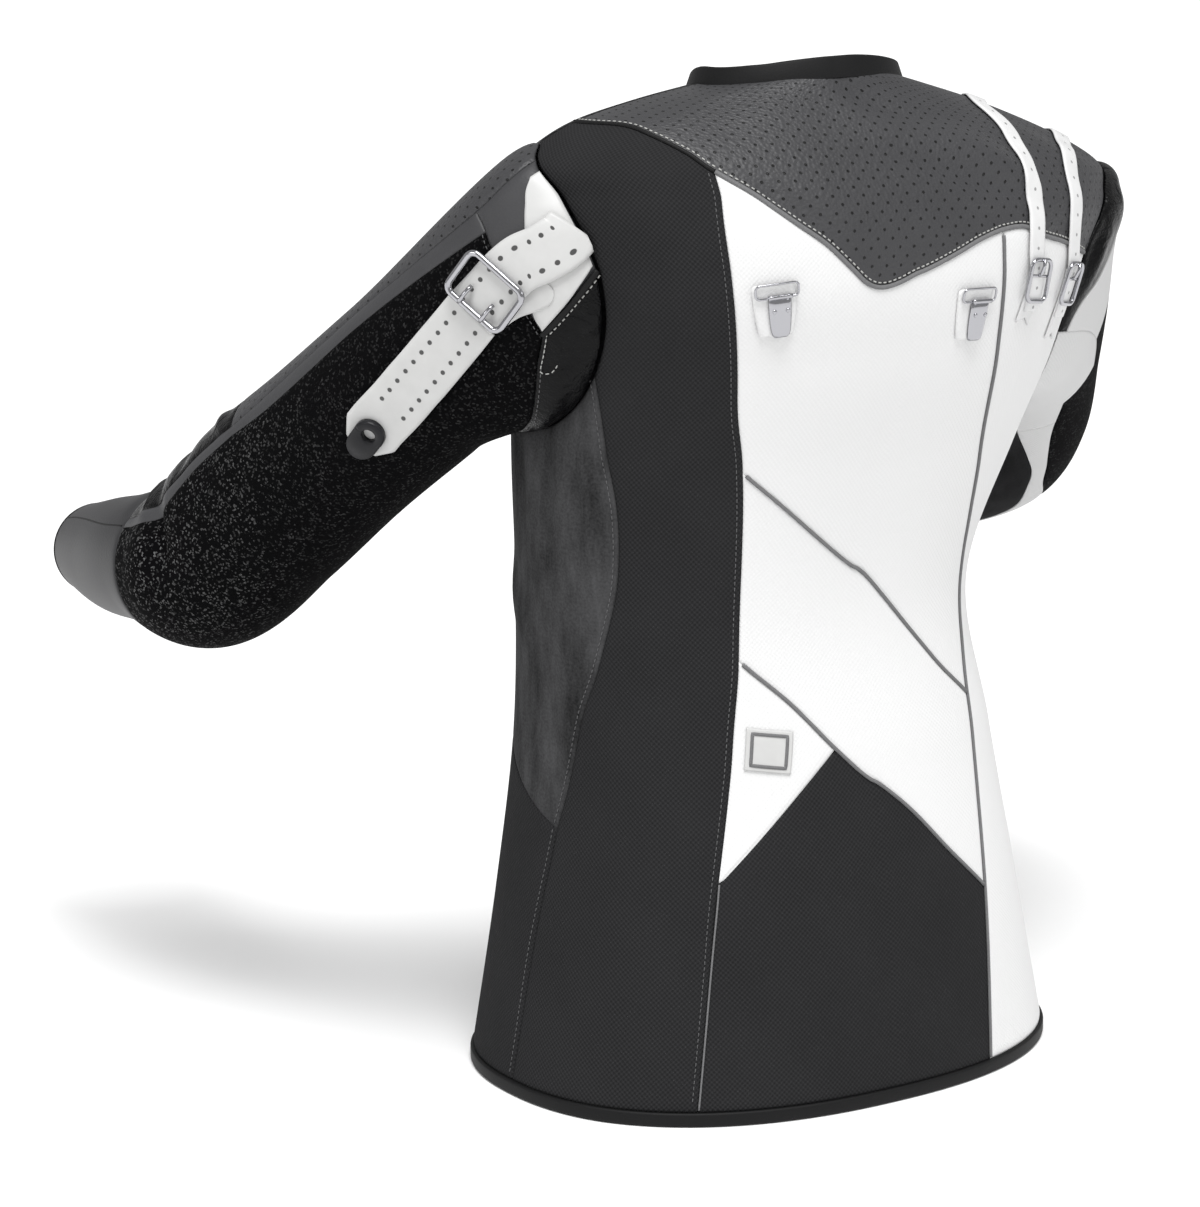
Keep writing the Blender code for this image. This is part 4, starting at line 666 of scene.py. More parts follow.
def coated_strap(name, rgb, hole_wide=0.0, pitch=1.0, rows=1.0, centre=0.0, first=0.0, last=1.0,
                 hole_tone=0.1):
    """Polyurethane-coated strap, calendered smooth. Holes are punched on a lattice of pitch along the
    strap and rows across it, between first and last metres along."""
    material, tree, shader, uv, _ = blank(name, rgb, 0.42)
    height = noise(tree, uv, 60.0, 5.0)
    value = ranged(tree, height, 0.3, 0.7, 0.95, 1.03)
    if hole_wide:
        split = add(tree, "SeparateXYZ", {0: uv}).outputs
        apart = [maths(tree, "PINGPONG", maths(tree, "SUBTRACT", split[axis], shift), step / 2)
                 for axis, step, shift in (("X", rows, centre), ("Y", pitch, first))]
        pair = add(tree, "CombineXYZ", dict(enumerate(apart)))
        distance = add(tree, "VectorMath", {0: pair.outputs[0]}, operation="LENGTH").outputs["Value"]
        solid = ranged(tree, distance, 0.44 * hole_wide, 0.56 * hole_wide, hole_tone, 1.0)
        for test, end in (("LESS_THAN", first - pitch / 2), ("GREATER_THAN", last + pitch / 2)):
            solid = maths(tree, "MAXIMUM", solid, maths(tree, test, split["Y"], end))
        value = maths(tree, "MULTIPLY", value, solid)
        height = maths(tree, "MULTIPLY_ADD", solid, 4.0, height)
    tint(tree, shader, rgb, value)
    bump(tree, shader, height, 0.4, 0.0004)
    return material


def plated_steel(name, rgb):
    """Nickel-plated steel wire and pressings: mirror bright with fine handling marks."""
    material, tree, shader, _, spot = blank(name, rgb, 0.12, metallic=1.0)
    rough = ranged(tree, noise(tree, spot, 400.0, 3.0), 0.3, 0.7, 0.07, 0.2)
    tree.links.new(rough, shader.inputs["Roughness"])
    return material


def fine_fabric(name, rgb, roughness, grain, depth, contrast=0.1):
    """Thread, woven tape, lining or moulded nylon: one colour with a fine even grain."""
    material, tree, shader, _, spot = blank(name, rgb, roughness, Specular_IOR_Level=0.25)
    speckle = noise(tree, spot, 1 / grain, 3.0)
    tint(tree, shader, rgb, ranged(tree, speckle, 0.3, 0.7, 1 - contrast, 1 + contrast))
    bump(tree, shader, speckle, 0.5, depth)
    return material


FINISHES = {}


def make_finishes(c, sizes):
    """All materials, by the kind of piece that wears them."""
    FINISHES.update({
        "perforated_leather": grain_leather("perforated_cowhide_charcoal", c.yoke, 0.48, 0.0026, 0.0012,
                                            sizes.holes),
        "dark_canvas": woven_canvas("woven_canvas_dark", c.canvas_dark, 0.0004, 0.30),
        "white_canvas": woven_canvas("woven_canvas_white", c.canvas_white, 0.00012, 0.012),
        "suede": brushed_suede("brushed_suede_grey", c.suede),
        # a darker copy of the suede, painted shade for the inside of the right sleeve
        "shaded_suede": brushed_suede("brushed_suede_shaded", c.suede_shaded),
        # a greyer copy of the white canvas, painted shade for the right sleeve
        "shaded_sleeve_canvas": woven_canvas("woven_canvas_white_shaded", c.canvas_sleeve_shaded, 0.0002, 0.04),
        "grip_rubber": crumb_rubber("bonded_rubber_crumb_black", c.grip),
        "nappa_leather": nappa("drum_dyed_nappa_black", c.nappa),
        "grey_leather": grain_leather("corrected_cowhide_grey", c.cuff, 0.5, 0.0016, 0.0003),
        "stripe_leather": grain_leather("corrected_cowhide_dark", c.stripe, 0.5, 0.0016, 0.0003),
        "grey_piping": fine_fabric("woven_piping_grey", c.piping, 0.7, 0.0012, 0.0003),
        "black_binding": fine_fabric("grosgrain_binding_black", c.binding, 0.6, 0.0010, 0.0003, 0.2),
        "white_strap": coated_strap("coated_strap_white", c.strap),
        "sling_strap": coated_strap("punched_sling_strap_white", c.strap, hole_wide=0.0032, pitch=0.0093,
                                    rows=0.0190, centre=0.0095, first=0.008, last=0.090),
        "shoulder_strap": coated_strap("punched_shoulder_strap_white", c.strap_shoulder, hole_wide=0.0022,
                                       pitch=0.013, first=0.02, last=0.30, hole_tone=0.42),
        "shoulder_tab": coated_strap("coated_tab_white", c.tab),
        "lining": fine_fabric("nylon_lining_grey", c.lining, 0.6, 0.0015, 0.0003),
        "chrome": plated_steel("nickel_plated_steel", c.steel),
        "black_plastic": fine_fabric("moulded_nylon_black", c.plastic, 0.38, 0.0008, 0.0001, 0.05),
        "thread": fine_fabric("polyester_thread_light", c.thread, 0.7, 0.0006, 0.0002),
        "dark_thread": fine_fabric("polyester_thread_dark", c.thread_dark, 0.7, 0.0006, 0.0002),
    })


# Pieces
def piece(name, bm, kinds, nodes=()):
    """Turns a finished bmesh into a piece that rides on the body and stands for its CAD nodes."""
    bmesh.ops.translate(bm, verts=bm.verts[:], vec=PLACE)
    for face in bm.faces:
        face.smooth = True
    mesh = bpy.data.meshes.new(name)
    bm.to_mesh(mesh)
    bm.free()
    made = bpy.data.objects.new(name, mesh)
    for kind in kinds:
        made.data.materials.append(FINISHES[kind])
    bpy.context.scene.collection.objects.link(made)
    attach(made, "root")
    if nodes:
        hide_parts(*nodes)
    return made


def grid_cells(columns, rows):
    bm = bmesh.new()
    bmesh.ops.create_grid(bm, x_segments=columns, y_segments=rows, size=0.5)
    return bm


def lay(bm, columns, rows, layers, uv=None):
    """Moves each vertex of a grid to its point; layers[0] is the outer face. uv is given per point."""
    where = {}
    for vert in bm.verts:
        column = round((vert.co.x + 0.5) * columns)
        row = round((0.5 - vert.co.y) * rows)
        where[vert] = (row, column, 0 if vert.co.z > -0.5 else len(layers) - 1)
    if uv is not None:
        layer = bm.loops.layers.uv.new("cloth")
        for face in bm.faces:
            for loop in face.loops:
                row, column, _ = where[loop.vert]
                loop[layer].uv = uv[row, column]
    for vert, (row, column, depth) in where.items():
        vert.co = Vector(layers[depth][row, column])


def cloth(name, kind, form, grid, thick=None, puff=0.0, slot=None, dip=None):
    """A panel of the garment: its outer face lies on the form, sinks at its seams and may swell between."""
    sizes = bpy.context.scene.jacket_sizes
    grid = seam_rows(form, grid)
    points = form_point(form, grid[..., 0], grid[..., 1])
    rows, columns = grid.shape[0] - 1, grid.shape[1] - 1
    down = np.pad(np.linalg.norm(np.diff(points, axis=0), axis=-1).cumsum(0), ((1, 0), (0, 0)))
    over = np.pad(np.linalg.norm(np.diff(points, axis=1), axis=-1).cumsum(1), ((0, 0), (1, 0)))
    edge = np.minimum(np.minimum(down, down[-1:] - down), np.minimum(over, over[:, -1:] - over))
    dip = sizes.seam_dip if dip is None else dip
    height = puff * (1 - np.exp(-(edge / PUFF_REACH) ** 2)) - dip * np.exp(-(edge / DIP_REACH) ** 2)
    outer, normal = on_form(form, grid, height)
    bm = grid_cells(columns, rows)
    lay(bm, columns, rows, [outer], cloth_uv(form, grid))
    bm.normal_update()
    centre = rows // 2, columns // 2
    middle = min(bm.faces, key=lambda f: (f.calc_center_median() - Vector(outer[centre])).length)
    if middle.normal.dot(Vector(normal[centre])) < 0:
        bmesh.ops.reverse_faces(bm, faces=bm.faces[:])
    made = piece(f"{name}_cloth", bm, (kind, "lining"), (name,))
    wall = made.modifiers.new("Thickness", "SOLIDIFY")
    wall.thickness = thick or (sizes.canvas if kind in THICK_KINDS else sizes.leather)
    wall.offset = -1
    wall.material_offset = 1


def panel(name, kind, form, top, bottom, left, right, **more):
    """A cloth between four sides, each a list of seams with their numbers of cells."""
    cloth(name, kind, form, patch(*(joined(form, *side) for side in (top, bottom, left, right))), **more)


def level(along, arounds, cells):
    """A side of a panel at one height, or at one length of a sleeve."""
    return [(around, along) for around in arounds], cells


def plumb(around, alongs, cells):
    """A side of a panel straight down the body or the sleeve."""
    return [(around, along) for along in alongs], cells


def face_outwards(bm):
    bmesh.ops.recalc_face_normals(bm, faces=bm.faces[:])
    if bm.calc_volume(signed=True) < 0:
        bmesh.ops.reverse_faces(bm, faces=bm.faces[:])


def merge(bm, part):
    """Adds a part to a mesh."""
    mesh = bpy.data.meshes.new("part")
    part.to_mesh(mesh)
    part.free()
    bm.from_mesh(mesh)
    bpy.data.meshes.remove(mesh)


def closed_sheet(outer, inner, uv=None):
    """A closed body between two grids of points."""
    rows, columns = outer.shape[0] - 1, outer.shape[1] - 1
    bm = grid_cells(columns, rows)
    lower = bmesh.ops.extrude_face_region(bm, geom=bm.faces[:], use_keep_orig=True)["geom"]
    bmesh.ops.translate(bm, verts=[v for v in lower if isinstance(v, bmesh.types.BMVert)], vec=(0, 0, -1))
    lay(bm, columns, rows, [outer, inner], uv)
    face_outwards(bm)
    return bm


def slab(name, kind, outer, inner, nodes, uv):
    """A strap or patch between two grids of points, laid on the garment."""
    made = piece(name, closed_sheet(outer, inner, uv), (kind,), nodes)


def soft_edge(count, thick, drop, reach):
    """Shares across a strap from -1 to 1, and how far its face sinks there towards its two edges."""
    spread = np.linspace(-1, 1, count)
    return spread, drop * thick * np.exp(-((1 - np.abs(spread)) / reach) ** 2)


def sweep(bm, path, one, two, outline, closed):
    """Adds a body swept along a path: the outline is in the plane of the two directions at each point."""
    path, outline = np.asarray(path, float), np.asarray(outline, float)
    count, sides = len(path), len(outline)
    ring = path[:, None] + one[:, None] * outline[None, :, :1] + two[:, None] * outline[None, :, 1:]
    rows = count if closed else count - 1
    part = grid_cells(sides, rows)
    for vert in part.verts:
        column = round((vert.co.x + 0.5) * sides) % sides
        row = round((0.5 - vert.co.y) * rows) % count
        vert.co = Vector(ring[row, column])
    bmesh.ops.remove_doubles(part, verts=part.verts[:], dist=1e-7)
    if not closed:
        bmesh.ops.holes_fill(part, edges=[e for e in part.edges if e.is_boundary], sides=0)
    face_outwards(part)
    merge(bm, part)


def circle(radius, sides):
    turn = np.linspace(0, 2 * math.pi, sides, endpoint=False)
    return np.stack([np.cos(turn), np.sin(turn)], -1) * radius


def around_loop(points):
    """Directions along a closed line."""
    return unit(np.roll(points, -1, 0) - np.roll(points, 1, 0))


def wire(bm, path, radius, flat, closed=False, sides=12):
    """Adds a round wire along points; flat is square to the plane that the wire is bent in."""
    path = np.asarray(path, float)
    way = around_loop(path) if closed else unit(np.gradient(path, axis=0))
    one = unit(np.cross(way, flat))
    sweep(bm, path, one, np.cross(one, way), circle(radius, sides), closed)


def rounded_rectangle(wide, tall, radius, arc=6):
    """Corner-rounded outline, anticlockwise, as x and y."""
    turn = np.radians(np.linspace(0, 90, arc + 1))
    corners = []
    for cx, cy, start in ((1, 1, 0), (-1, 1, 90), (-1, -1, 180), (1, -1, 270)):
        angle = turn + math.radians(start)
        corners.append(np.stack([cx * (wide / 2 - radius) + radius * np.cos(angle),
                                 cy * (tall / 2 - radius) + radius * np.sin(angle)], -1))
    return np.concatenate(corners)


def frame_at(form, place, way, lift):
    """Local axes of a fitting on a form: its origin, right, along and out."""
    place = np.asarray(place, float)
    ahead = place + np.asarray(way, float)
    start, normal = on_form(form, place, lift)
    along = form_point(form, ahead[0], ahead[1]) - form_point(form, place[0], place[1])
    along = unit(along - normal * (along @ normal))
    return start, np.cross(along, normal), along, normal


def local(axes, points):
    origin, right, along, out = axes
    points = np.asarray(points, float)
    return origin + points[..., :1] * right + points[..., 1:2] * along + points[..., 2:3] * out


def wire_frame(bm, axes, wide, tall, corner, radius, shift=(0.0, 0.0, 0.0), arc=6, sides=12):
    """Adds the rounded frame of a buckle or a loop of wire."""
    outline = np.pad(rounded_rectangle(wide, tall, corner, arc), ((0, 0), (0, 1))) + shift
    wire(bm, local(axes, outline), radius, axes[3], closed=True, sides=sides)


def wire_bar(bm, axes, half, y, z, radius, points=9):
    """Adds a straight bar across a fitting."""
    wire(bm, local(axes, [(x, y, z) for x in np.linspace(-half, half, points)]), radius, axes[3])


def trim(name, kind, form, line, wide, rise, lift, nodes=(), cells=120):
    """Rounded tape or piping sewn along a line on a form."""
    points, normal = on_form(form, beside(form, line, 0.0, cells), lift)
    side = unit(np.cross(np.gradient(points, axis=0), normal))
    turn = np.linspace(0, math.pi, 7)
    outline = np.concatenate([np.stack([np.cos(turn) * wide / 2, np.sin(turn) * rise], -1),
                              [[-wide / 2, -0.0006], [wide / 2, -0.0006]]])
    bm = bmesh.new()
    sweep(bm, points, side, normal, outline, False)
    piece(name, bm, (kind,), nodes)


def stitches(bm, form, line, thick, lift):
    """Adds a row of stitches along a line on a form, each a short bent bar that dips at its ends."""
    pitch = bpy.context.scene.jacket_sizes.stitch
    run = lengths(form, line)
    middle = (np.arange(max(1, int(run[-1] / pitch))) + 0.5) * pitch
    places, ahead = (np.stack([np.interp(at, run, line[:, 0]), np.interp(at, run, line[:, 1])], -1)
                     for at in (middle, middle + 0.0005))
    points, normal = on_form(form, places, lift)
    way = unit(on_form(form, ahead, lift)[0] - points)
    side = np.cross(way, normal)
    length = pitch * STITCH_SHARE
    for point, w, s, n in zip(points, way, side, normal):
        for vert in bmesh.ops.create_cube(bm, size=1.0)["verts"]:
            x, y, z = vert.co
            foot = z < 0
            vert.co = Vector(point + w * (x * length * (1.0 if foot else 0.8)) + s * (y * 2 * thick)
                             + n * (z * 1.6 * thick * (0.35 if foot else 1.0)))


# Operators
class BuildFinishes(bpy.types.Operator):
    """Make the materials of the jacket."""
    bl_idname = "jacket.finishes"
    bl_label = "Finishes"

    def execute(self, context):
        make_finishes(context.scene.jacket_colours, context.scene.jacket_sizes)
        return {"FINISHED"}


class BuildBody(bpy.types.Operator):
    """Lay the panels of the jacket's body."""
    bl_idname = "jacket.body"
    bl_label = "Body panels"

    def execute(self, context):
        b, arc, hem = "body", armhole_arc, HEM_TOP

        def to_hem(line):
            return (*line[:-1], (line[-1][0], hem))
        yoke_left, yoke_back, yoke_right = (YOKE_SEAM_LEFT, 6), (YOKE_SEAM_BACK, 14), (YOKE_SEAM_RIGHT, 4)
        high, low_left, low_right = (DIAGONAL_HIGH, 14), (DIAGONAL_LOW_LEFT, 4), (DIAGONAL_LOW_RIGHT, 10)
        left_shoulder = ((-8, 0.658), (-12, 0.647)), 1
        right_shoulder = ((180, NECK), (169, 0.638)), 6
        front_yoke_left, front_yoke_right = (FRONT_YOKE_LEFT, 5), (FRONT_YOKE_RIGHT, 5)
        suede_foot, suede_front, suede_back = (SUEDE_FOOT, 6), (SUEDE_FRONT, 14), (SUEDE_SEAM, 14)
        side_left, side_front = (to_hem(SIDE_SEAM_LEFT), 7), plumb(-50, (0.250, hem), 7)
        front_seam = to_hem(FRONT_SEAM_RIGHT), 16
        line = to_hem(PRINCESS_LEFT)
        upper_left, band_left = (line, 12, 0, 3), (line, 6, 3, 5)
        triangle_left, lower_left = (line, 5, 5, 7), (line, 7, 7)
        line = to_hem(PRINCESS_RIGHT)
        upper_right, band_right, lower_right = (line, 12, 0, 8), (line, 6, 8, 10), (line, 7, 10)
        foot = (PRINCESS_LEFT[7], TRIANGLE_TIP), 4

        panel("yoke_back", "perforated_leather", b, [level(NECK, (-5, 90, 180), 30)],
              [yoke_left, yoke_back, yoke_right, (arc("right", 80.5, 0), 6)],
              [(((-5, NECK), (-8, 0.658)), 6)], [right_shoulder])
        panel("yoke_front_left", "nappa_leather", b, [level(NECK, (-90, -47, -5), 10)],
              [front_yoke_left, (arc("left", 302, 360), 5)], [plumb(-90, (NECK, 0.585), 6)],
              [(((-5, NECK), (-8, 0.658)), 5), left_shoulder])
        panel("yoke_front_right", "nappa_leather", b, [level(NECK, (180, 225, 270), 10)],
              [(arc("right", 360, 307.2), 5), front_yoke_right], [right_shoulder],
              [plumb(270, (NECK, 0.585), 6)])
        panel("back_side_left", "dark_canvas", b, [yoke_left], [level(hem, (0, 50), 6)],
              [left_shoulder, (arc("left", 0, 122), 8), suede_back, side_left],
              [upper_left, band_left, triangle_left, lower_left])
        panel("underarm_left", "suede", b, [(arc("left", 238, 122), 6)], [suede_foot], [suede_front],
              [suede_back])
        panel("side_left_lower", "dark_canvas", b, [suede_foot], [level(hem, (-50, 0), 6)], [side_front],
              [side_left])
        panel("front_left", "dark_canvas", b, [front_yoke_left], [level(hem, (-90, -50), 5)],
              [plumb(-90, (0.585, hem), 25)], [(arc("left", 302, 238), 4), suede_front, side_front])
        panel("back_upper", "white_canvas", b, [yoke_back], [high], [upper_left], [upper_right])
        panel("back_band", "white_canvas", b, [high], [low_left, low_right], [band_left], [band_right])
        panel("back_triangle", "white_canvas", b, [low_left], [foot], [triangle_left],
              [((TRIANGLE_PEAK, TRIANGLE_TIP), 5)])
        panel("back_lower", "dark_canvas", b, [foot, ((TRIANGLE_TIP, TRIANGLE_PEAK), 5), low_right],
              [level(hem, (50, 112), 19)], [lower_left], [lower_right])
        panel("back_side_right", "white_canvas", b, [yoke_right], [level(hem, (112, 172), 4)],
              [upper_right, band_right, lower_right], [(arc("right", 80.5, 146), 5),
                                                       (to_hem(SIDE_SEAM_RIGHT), 20)])
        panel("side_right", "white_canvas", b, [(arc("right", 146, 225), 6)], [level(hem, (172, 230), 6)],
              [(to_hem(SIDE_SEAM_RIGHT), 16)], [front_seam])
        panel("front_right", "dark_canvas", b, [front_yoke_right], [level(hem, (230, 270), 5)],
              [(arc("right", 307.2, 225), 5), front_seam], [plumb(270, (0.585, hem), 21)])
        return {"FINISHED"}


class BuildRims(bpy.types.Operator):
    """Make the bound hem, the collar band and the covered button front."""
    bl_idname = "jacket.rims"
    bl_label = "Hem, collar and front"

    def execute(self, context):
        b = "body"
        points, normal = on_form(b, [(around, 0.0047) for around in np.linspace(-89.95, 269.95, 361)])
        outline = rounded_rectangle(0.0042, 0.0094, 0.0016, 3) - (0.0010, 0.0)
        bm = bmesh.new()
        sweep(bm, points, unit(normal * (1, 1, 0)), np.tile((0.0, 0.0, 1.0), (361, 1)), outline, False)
        piece("hem_binding_tape", bm, ("black_binding",), ("hem_binding",))
        points, _ = on_form(b, [(around, NECK) for around in np.linspace(-88, 268, 241)])
        out = unit((points - points.mean(0)) * (1, 1, 0))
        outline = rounded_rectangle(0.0034, 0.0152, 0.0015, 3) + (-0.0009, 0.0036)
        bm = bmesh.new()
        sweep(bm, points, out, unit(np.array((0.0, 0.0, 1.0)) - 0.35 * out), outline, False)
        piece("collar_band_tape", bm, ("black_binding",), ("collar_band",))
        line, cells = plumb(270, (0.655, 0.640, 0.585, 0.425, 0.230, 0.012), 34)
        grid = strip_grid(b, line, cells, 0.036, 12)
        edge = 1 - np.abs(np.linspace(-1, 1, 13))
        rise = 0.0018 * (1 - np.exp(-(edge / 0.12) ** 2)) + 0.0012
        outer, normal = on_form(b, grid, np.tile(rise, (len(grid), 1)))
        slab("front_placket_cloth", "dark_canvas", outer, outer - normal * 0.0022, ("front_placket",),
             cloth_uv(b, grid))
        for number, height in enumerate(BUTTON_HEIGHTS, 1):
            self.button(number, frame_at(b, (270, height), (0, 0.01), 0.0036))
        return {"FINISHED"}

    def button(self, number, axes):
        """A moulded button with a raised rim, and four small round pegs in its middle where its holes are."""
        bm = bmesh.new()
        bmesh.ops.create_cone(bm, cap_ends=True, segments=32, radius1=0.0086, radius2=0.0086, depth=0.0020)
        top = [f for f in bm.faces if f.normal.z > 0.9]
        bmesh.ops.inset_region(bm, faces=top, thickness=0.0014, depth=-0.0006)
        bmesh.ops.bevel(bm, geom=[e for e in bm.edges if e.calc_face_angle(0) > 0.5], offset=0.0004,
                        affect="EDGES", segments=2, profile=0.5, material=-1)
        for x, y in ((1, 1), (-1, 1), (-1, -1), (1, -1)):
            hole = bmesh.ops.create_cone(bm, cap_ends=True, segments=10, radius1=0.0009, radius2=0.0009,
                                         depth=0.0008)
            bmesh.ops.translate(bm, verts=hole["verts"], vec=(x * 0.0017, y * 0.0017, 0.0004))
        for vert in bm.verts:
            vert.co = Vector(local(axes, np.array(vert.co) + (0, 0, 0.0010)))
        piece(f"button_{number}_moulding", bm, ("black_plastic",), (f"button_{number}",))


class BuildTrims(bpy.types.Operator):
    """Make the piping, the plain bordered patch and the two clips."""
    bl_idname = "jacket.trims"
    bl_label = "Piping, patch and clips"

    def execute(self, context):
        b, wide = "body", context.scene.jacket_sizes.piping
        narrow, rise, lift = 0.0024, 0.0010, 0.0002
        trim("piping_yoke_edge", "grey_piping", b, (*YOKE_SEAM_BACK[:-1], *YOKE_SEAM_RIGHT[:-1],
                                                    (134.2, 0.560)),
             wide, 0.0013, lift, ("piping_yoke",), 200)
        trim("piping_yoke_left_edge", "black_binding", b, YOKE_SEAM_LEFT, wide, 0.0012, 0.0)
        trim("seam_lower_back", "grey_piping", b, ((52.6, 0.160), (50.9, 0.100), (50.1, 0.0110)),
             0.0013, 0.0005, -0.0002, cells=60)
        trim("piping_right_seam", "grey_piping", b, ((104.7, 0.5780), *PRINCESS_RIGHT[1:-1], (112, 0.0110)),
             narrow, rise, lift, ("piping_right",), 240)
        trim("piping_high_seam", "grey_piping", b, ((60.4, 0.4300), *DIAGONAL_HIGH[1:-1], (125.6, 0.2590)),
             narrow, rise, lift, ("piping_diagonal_high",))
        trim("piping_low_seam", "grey_piping", b,
             ((63.3, 0.3035), *DIAGONAL_LOW_LEFT[1:], *DIAGONAL_LOW_RIGHT[1:-1], (117.6, 0.1295)),
             narrow, rise, lift, ("piping_diagonal_low",))
        self.patch(b)
        for name, (around, up) in CLIPS.items():
            self.clip(name, around, up)
        return {"FINISHED"}

    def patch(self, b):
        """The square patch on the back, plain inside its border."""
        foot_left, head_left, head_right, foot_right = (np.array(corner, float) for corner in PATCH)
        grid = patch(*(divided(b, line, 4) for line in (
            (head_left, head_right), (foot_left, foot_right), (head_left, foot_left),
            (head_right, foot_right))))
        lower, normal = on_form(b, grid, 0.0003)
        slab("side_patch_cloth", "white_strap", lower + normal * 0.0009, lower, ("side_patch",),
             cloth_uv(b, grid))
        last = len(grid) - 1
        near, far = 0.12, 0.88
        inset = [grid[round(v * last), round(u * last)]
                 for u, v in ((near, near), (far, near), (far, far), (near, far))]
        loop = np.concatenate([np.linspace(a, c, 14, endpoint=False)
                               for a, c in zip(inset, inset[1:] + inset[:1])])
        points, normal = on_form(b, loop, 0.0012)
        bm = bmesh.new()
        sweep(bm, points, np.cross(around_loop(points), normal), normal,
              ((0.0011, 0.0), (0.0011, 0.0004), (-0.0011, 0.0004), (-0.0011, 0.0)), True)
        piece("side_patch_border", bm, ("grey_piping",), ())

    def clip(self, name, around, up):
        """A sewn tab, and on it a pressed jaw with its wire loop, roller and two rivets."""
        axes = frame_at("body", (around, up), (0, 0.01), 0.0003)
        rows = (0.0160, 0.0150, 0.0110, 0.0040, -0.0040, -0.0110, -0.0170, -0.0180)
        half = (0.0128, 0.0150, 0.0152, 0.0146, 0.0138, 0.0128, 0.0116, 0.0100)
        spread, drop = soft_edge(13, 0.0008, 1.0, 0.06)
        grid = np.array([[(x * h, y, 0.0016) for x in spread] for y, h in zip(rows, half)])
        grid[..., 2] -= drop[None]
        slab(f"clip_tab_{name}_strap", "white_canvas", local(axes, grid), local(axes, grid * (1, 1, 0)),
             (f"clip_tab_{name}",), grid[..., :2])
        axes = frame_at("body", (around + 0.8, up), (0, 0.01), 0.0020)
        rows = (0.0080, 0.0060, 0.0020, -0.0040, -0.0100, -0.0150, -0.0175, -0.0190)
        half = (0.0066, 0.0076, 0.0077, 0.0075, 0.0070, 0.0064, 0.0057, 0.0044)
        height = (0.0012, 0.0030, 0.0034, 0.0030, 0.0028, 0.0030, 0.0026, 0.0016)
        grid = np.array([[(x * h, y, z * (1 - 0.55 * x ** 6)) for x in np.linspace(-1, 1, 11)]
                         for y, h, z in zip(rows, half, height)])
        bm = bmesh.new()
        merge(bm, closed_sheet(local(axes, grid), local(axes, grid - (0, 0, 0.0011))))
        wire_frame(bm, axes, 0.0290, 0.0090, 0.0030, 0.0008, shift=(-0.0016, 0.0120, 0.0012))
        wire_bar(bm, axes, 0.0080, 0.0082, 0.0026, 0.0015)
        for x in (-0.0045, 0.0045):
            for vert in bmesh.ops.create_uvsphere(bm, u_segments=14, v_segments=8, radius=0.0015)["verts"]:
                vert.co = Vector(local(axes, np.array(vert.co) * (1, 1, 0.6) + (x, -0.0010, 0.0033)))
        piece(f"clip_{name}_pressing", bm, ("chrome",), (f"clip_{name}",))


class BuildShoulderStraps(bpy.types.Operator):
    """Make the two straps over the right shoulder with their tabs and buckles."""
    bl_idname = "jacket.shoulder_straps"
    bl_label = "Shoulder straps"

    def execute(self, context):
        b, wide = "body", context.scene.jacket_sizes.strap
        rise = 0.0009 + 0.0013 * np.clip(np.linspace(-8.0, 3.0, 30 * FINE + 1), 0, 1)
        for name, spec in STRAPS.items():
            self.strap(f"strap_{name}", b, spec["path"], 30, wide, 0.0016, rise, "shoulder_strap")
            self.strap(f"strap_tab_{name}", b, spec["tab"], 5, wide, 0.0014, np.full(5 * FINE + 1, 0.0007),
                       "shoulder_tab", notch=0.005)
            axes = frame_at(b, np.array(spec["buckle"]) - (0.8, 0), (0, -0.01), 0.0047)
            bm = bmesh.new()
            wire_frame(bm, axes, 0.0210, 0.0280, 0.0050, 0.0015)
            wire_bar(bm, axes, 0.0100, -0.0030, -0.0012, 0.0010)
            prong = [(0.0, -0.0030, -0.0008), (0.0, -0.0050, 0.0012), (0.0, -0.0095, 0.0022),
                     (0.0, -0.0145, 0.0021)]
            wire(bm, local(axes, prong), 0.0012, axes[1])
            piece(f"buckle_{name}_steel", bm, ("chrome",), (f"buckle_{name}",))
        return {"FINISHED"}

    def strap(self, name, form, path, cells, wide, thick, lift, kind, notch=0.0):
        """A strap on the form, whose end may be cut to a notch."""
        grid = strip_grid(form, path, cells, wide, 10)
        spread, edge = soft_edge(11, thick, 0.45, 0.09)
        run = lengths(form, grid[:, 5])
        step = (grid[-1, 5] - grid[-1 - FINE, 5]) * notch / (run[-1] - run[-1 - FINE])
        share = (run / run[-1])[:, None] ** 5 * (1 - np.abs(spread))[None]
        grid = grid - share[..., None] * step
        outer, normal = on_form(form, grid, lift[:, None] + thick - edge[None])
        uv = np.stack(np.broadcast_arrays(spread[None] * wide / 2, run[:, None]), -1)
        slab(f"{name}_webbing", kind, outer, outer - normal * (thick - edge)[None, :, None], (name,),
             uv)


def cuff(name, kind, form, start, near, far, rows):
    """The last piece of a sleeve, all round, closed by its own seam and bound at its end."""
    line = np.linspace(start, start + 360, 13 * FINE + 1)
    grid = np.stack(np.meshgrid(line, np.linspace(near, far, rows * FINE // 2 + 1)), -1)
    cloth(name, kind, form, grid, thick=bpy.context.scene.jacket_sizes.leather)


def edging(name, form, along):
    """The thin bound edge of a cuff."""
    points, normal = on_form(form, [(around, along) for around in np.linspace(0, 360, 97)[:-1]], -0.0011)
    bm = bmesh.new()
    sweep(bm, points, normal, np.cross(around_loop(points), normal), circle(0.0015, 10), True)
    piece(name, bm, ("black_binding",))


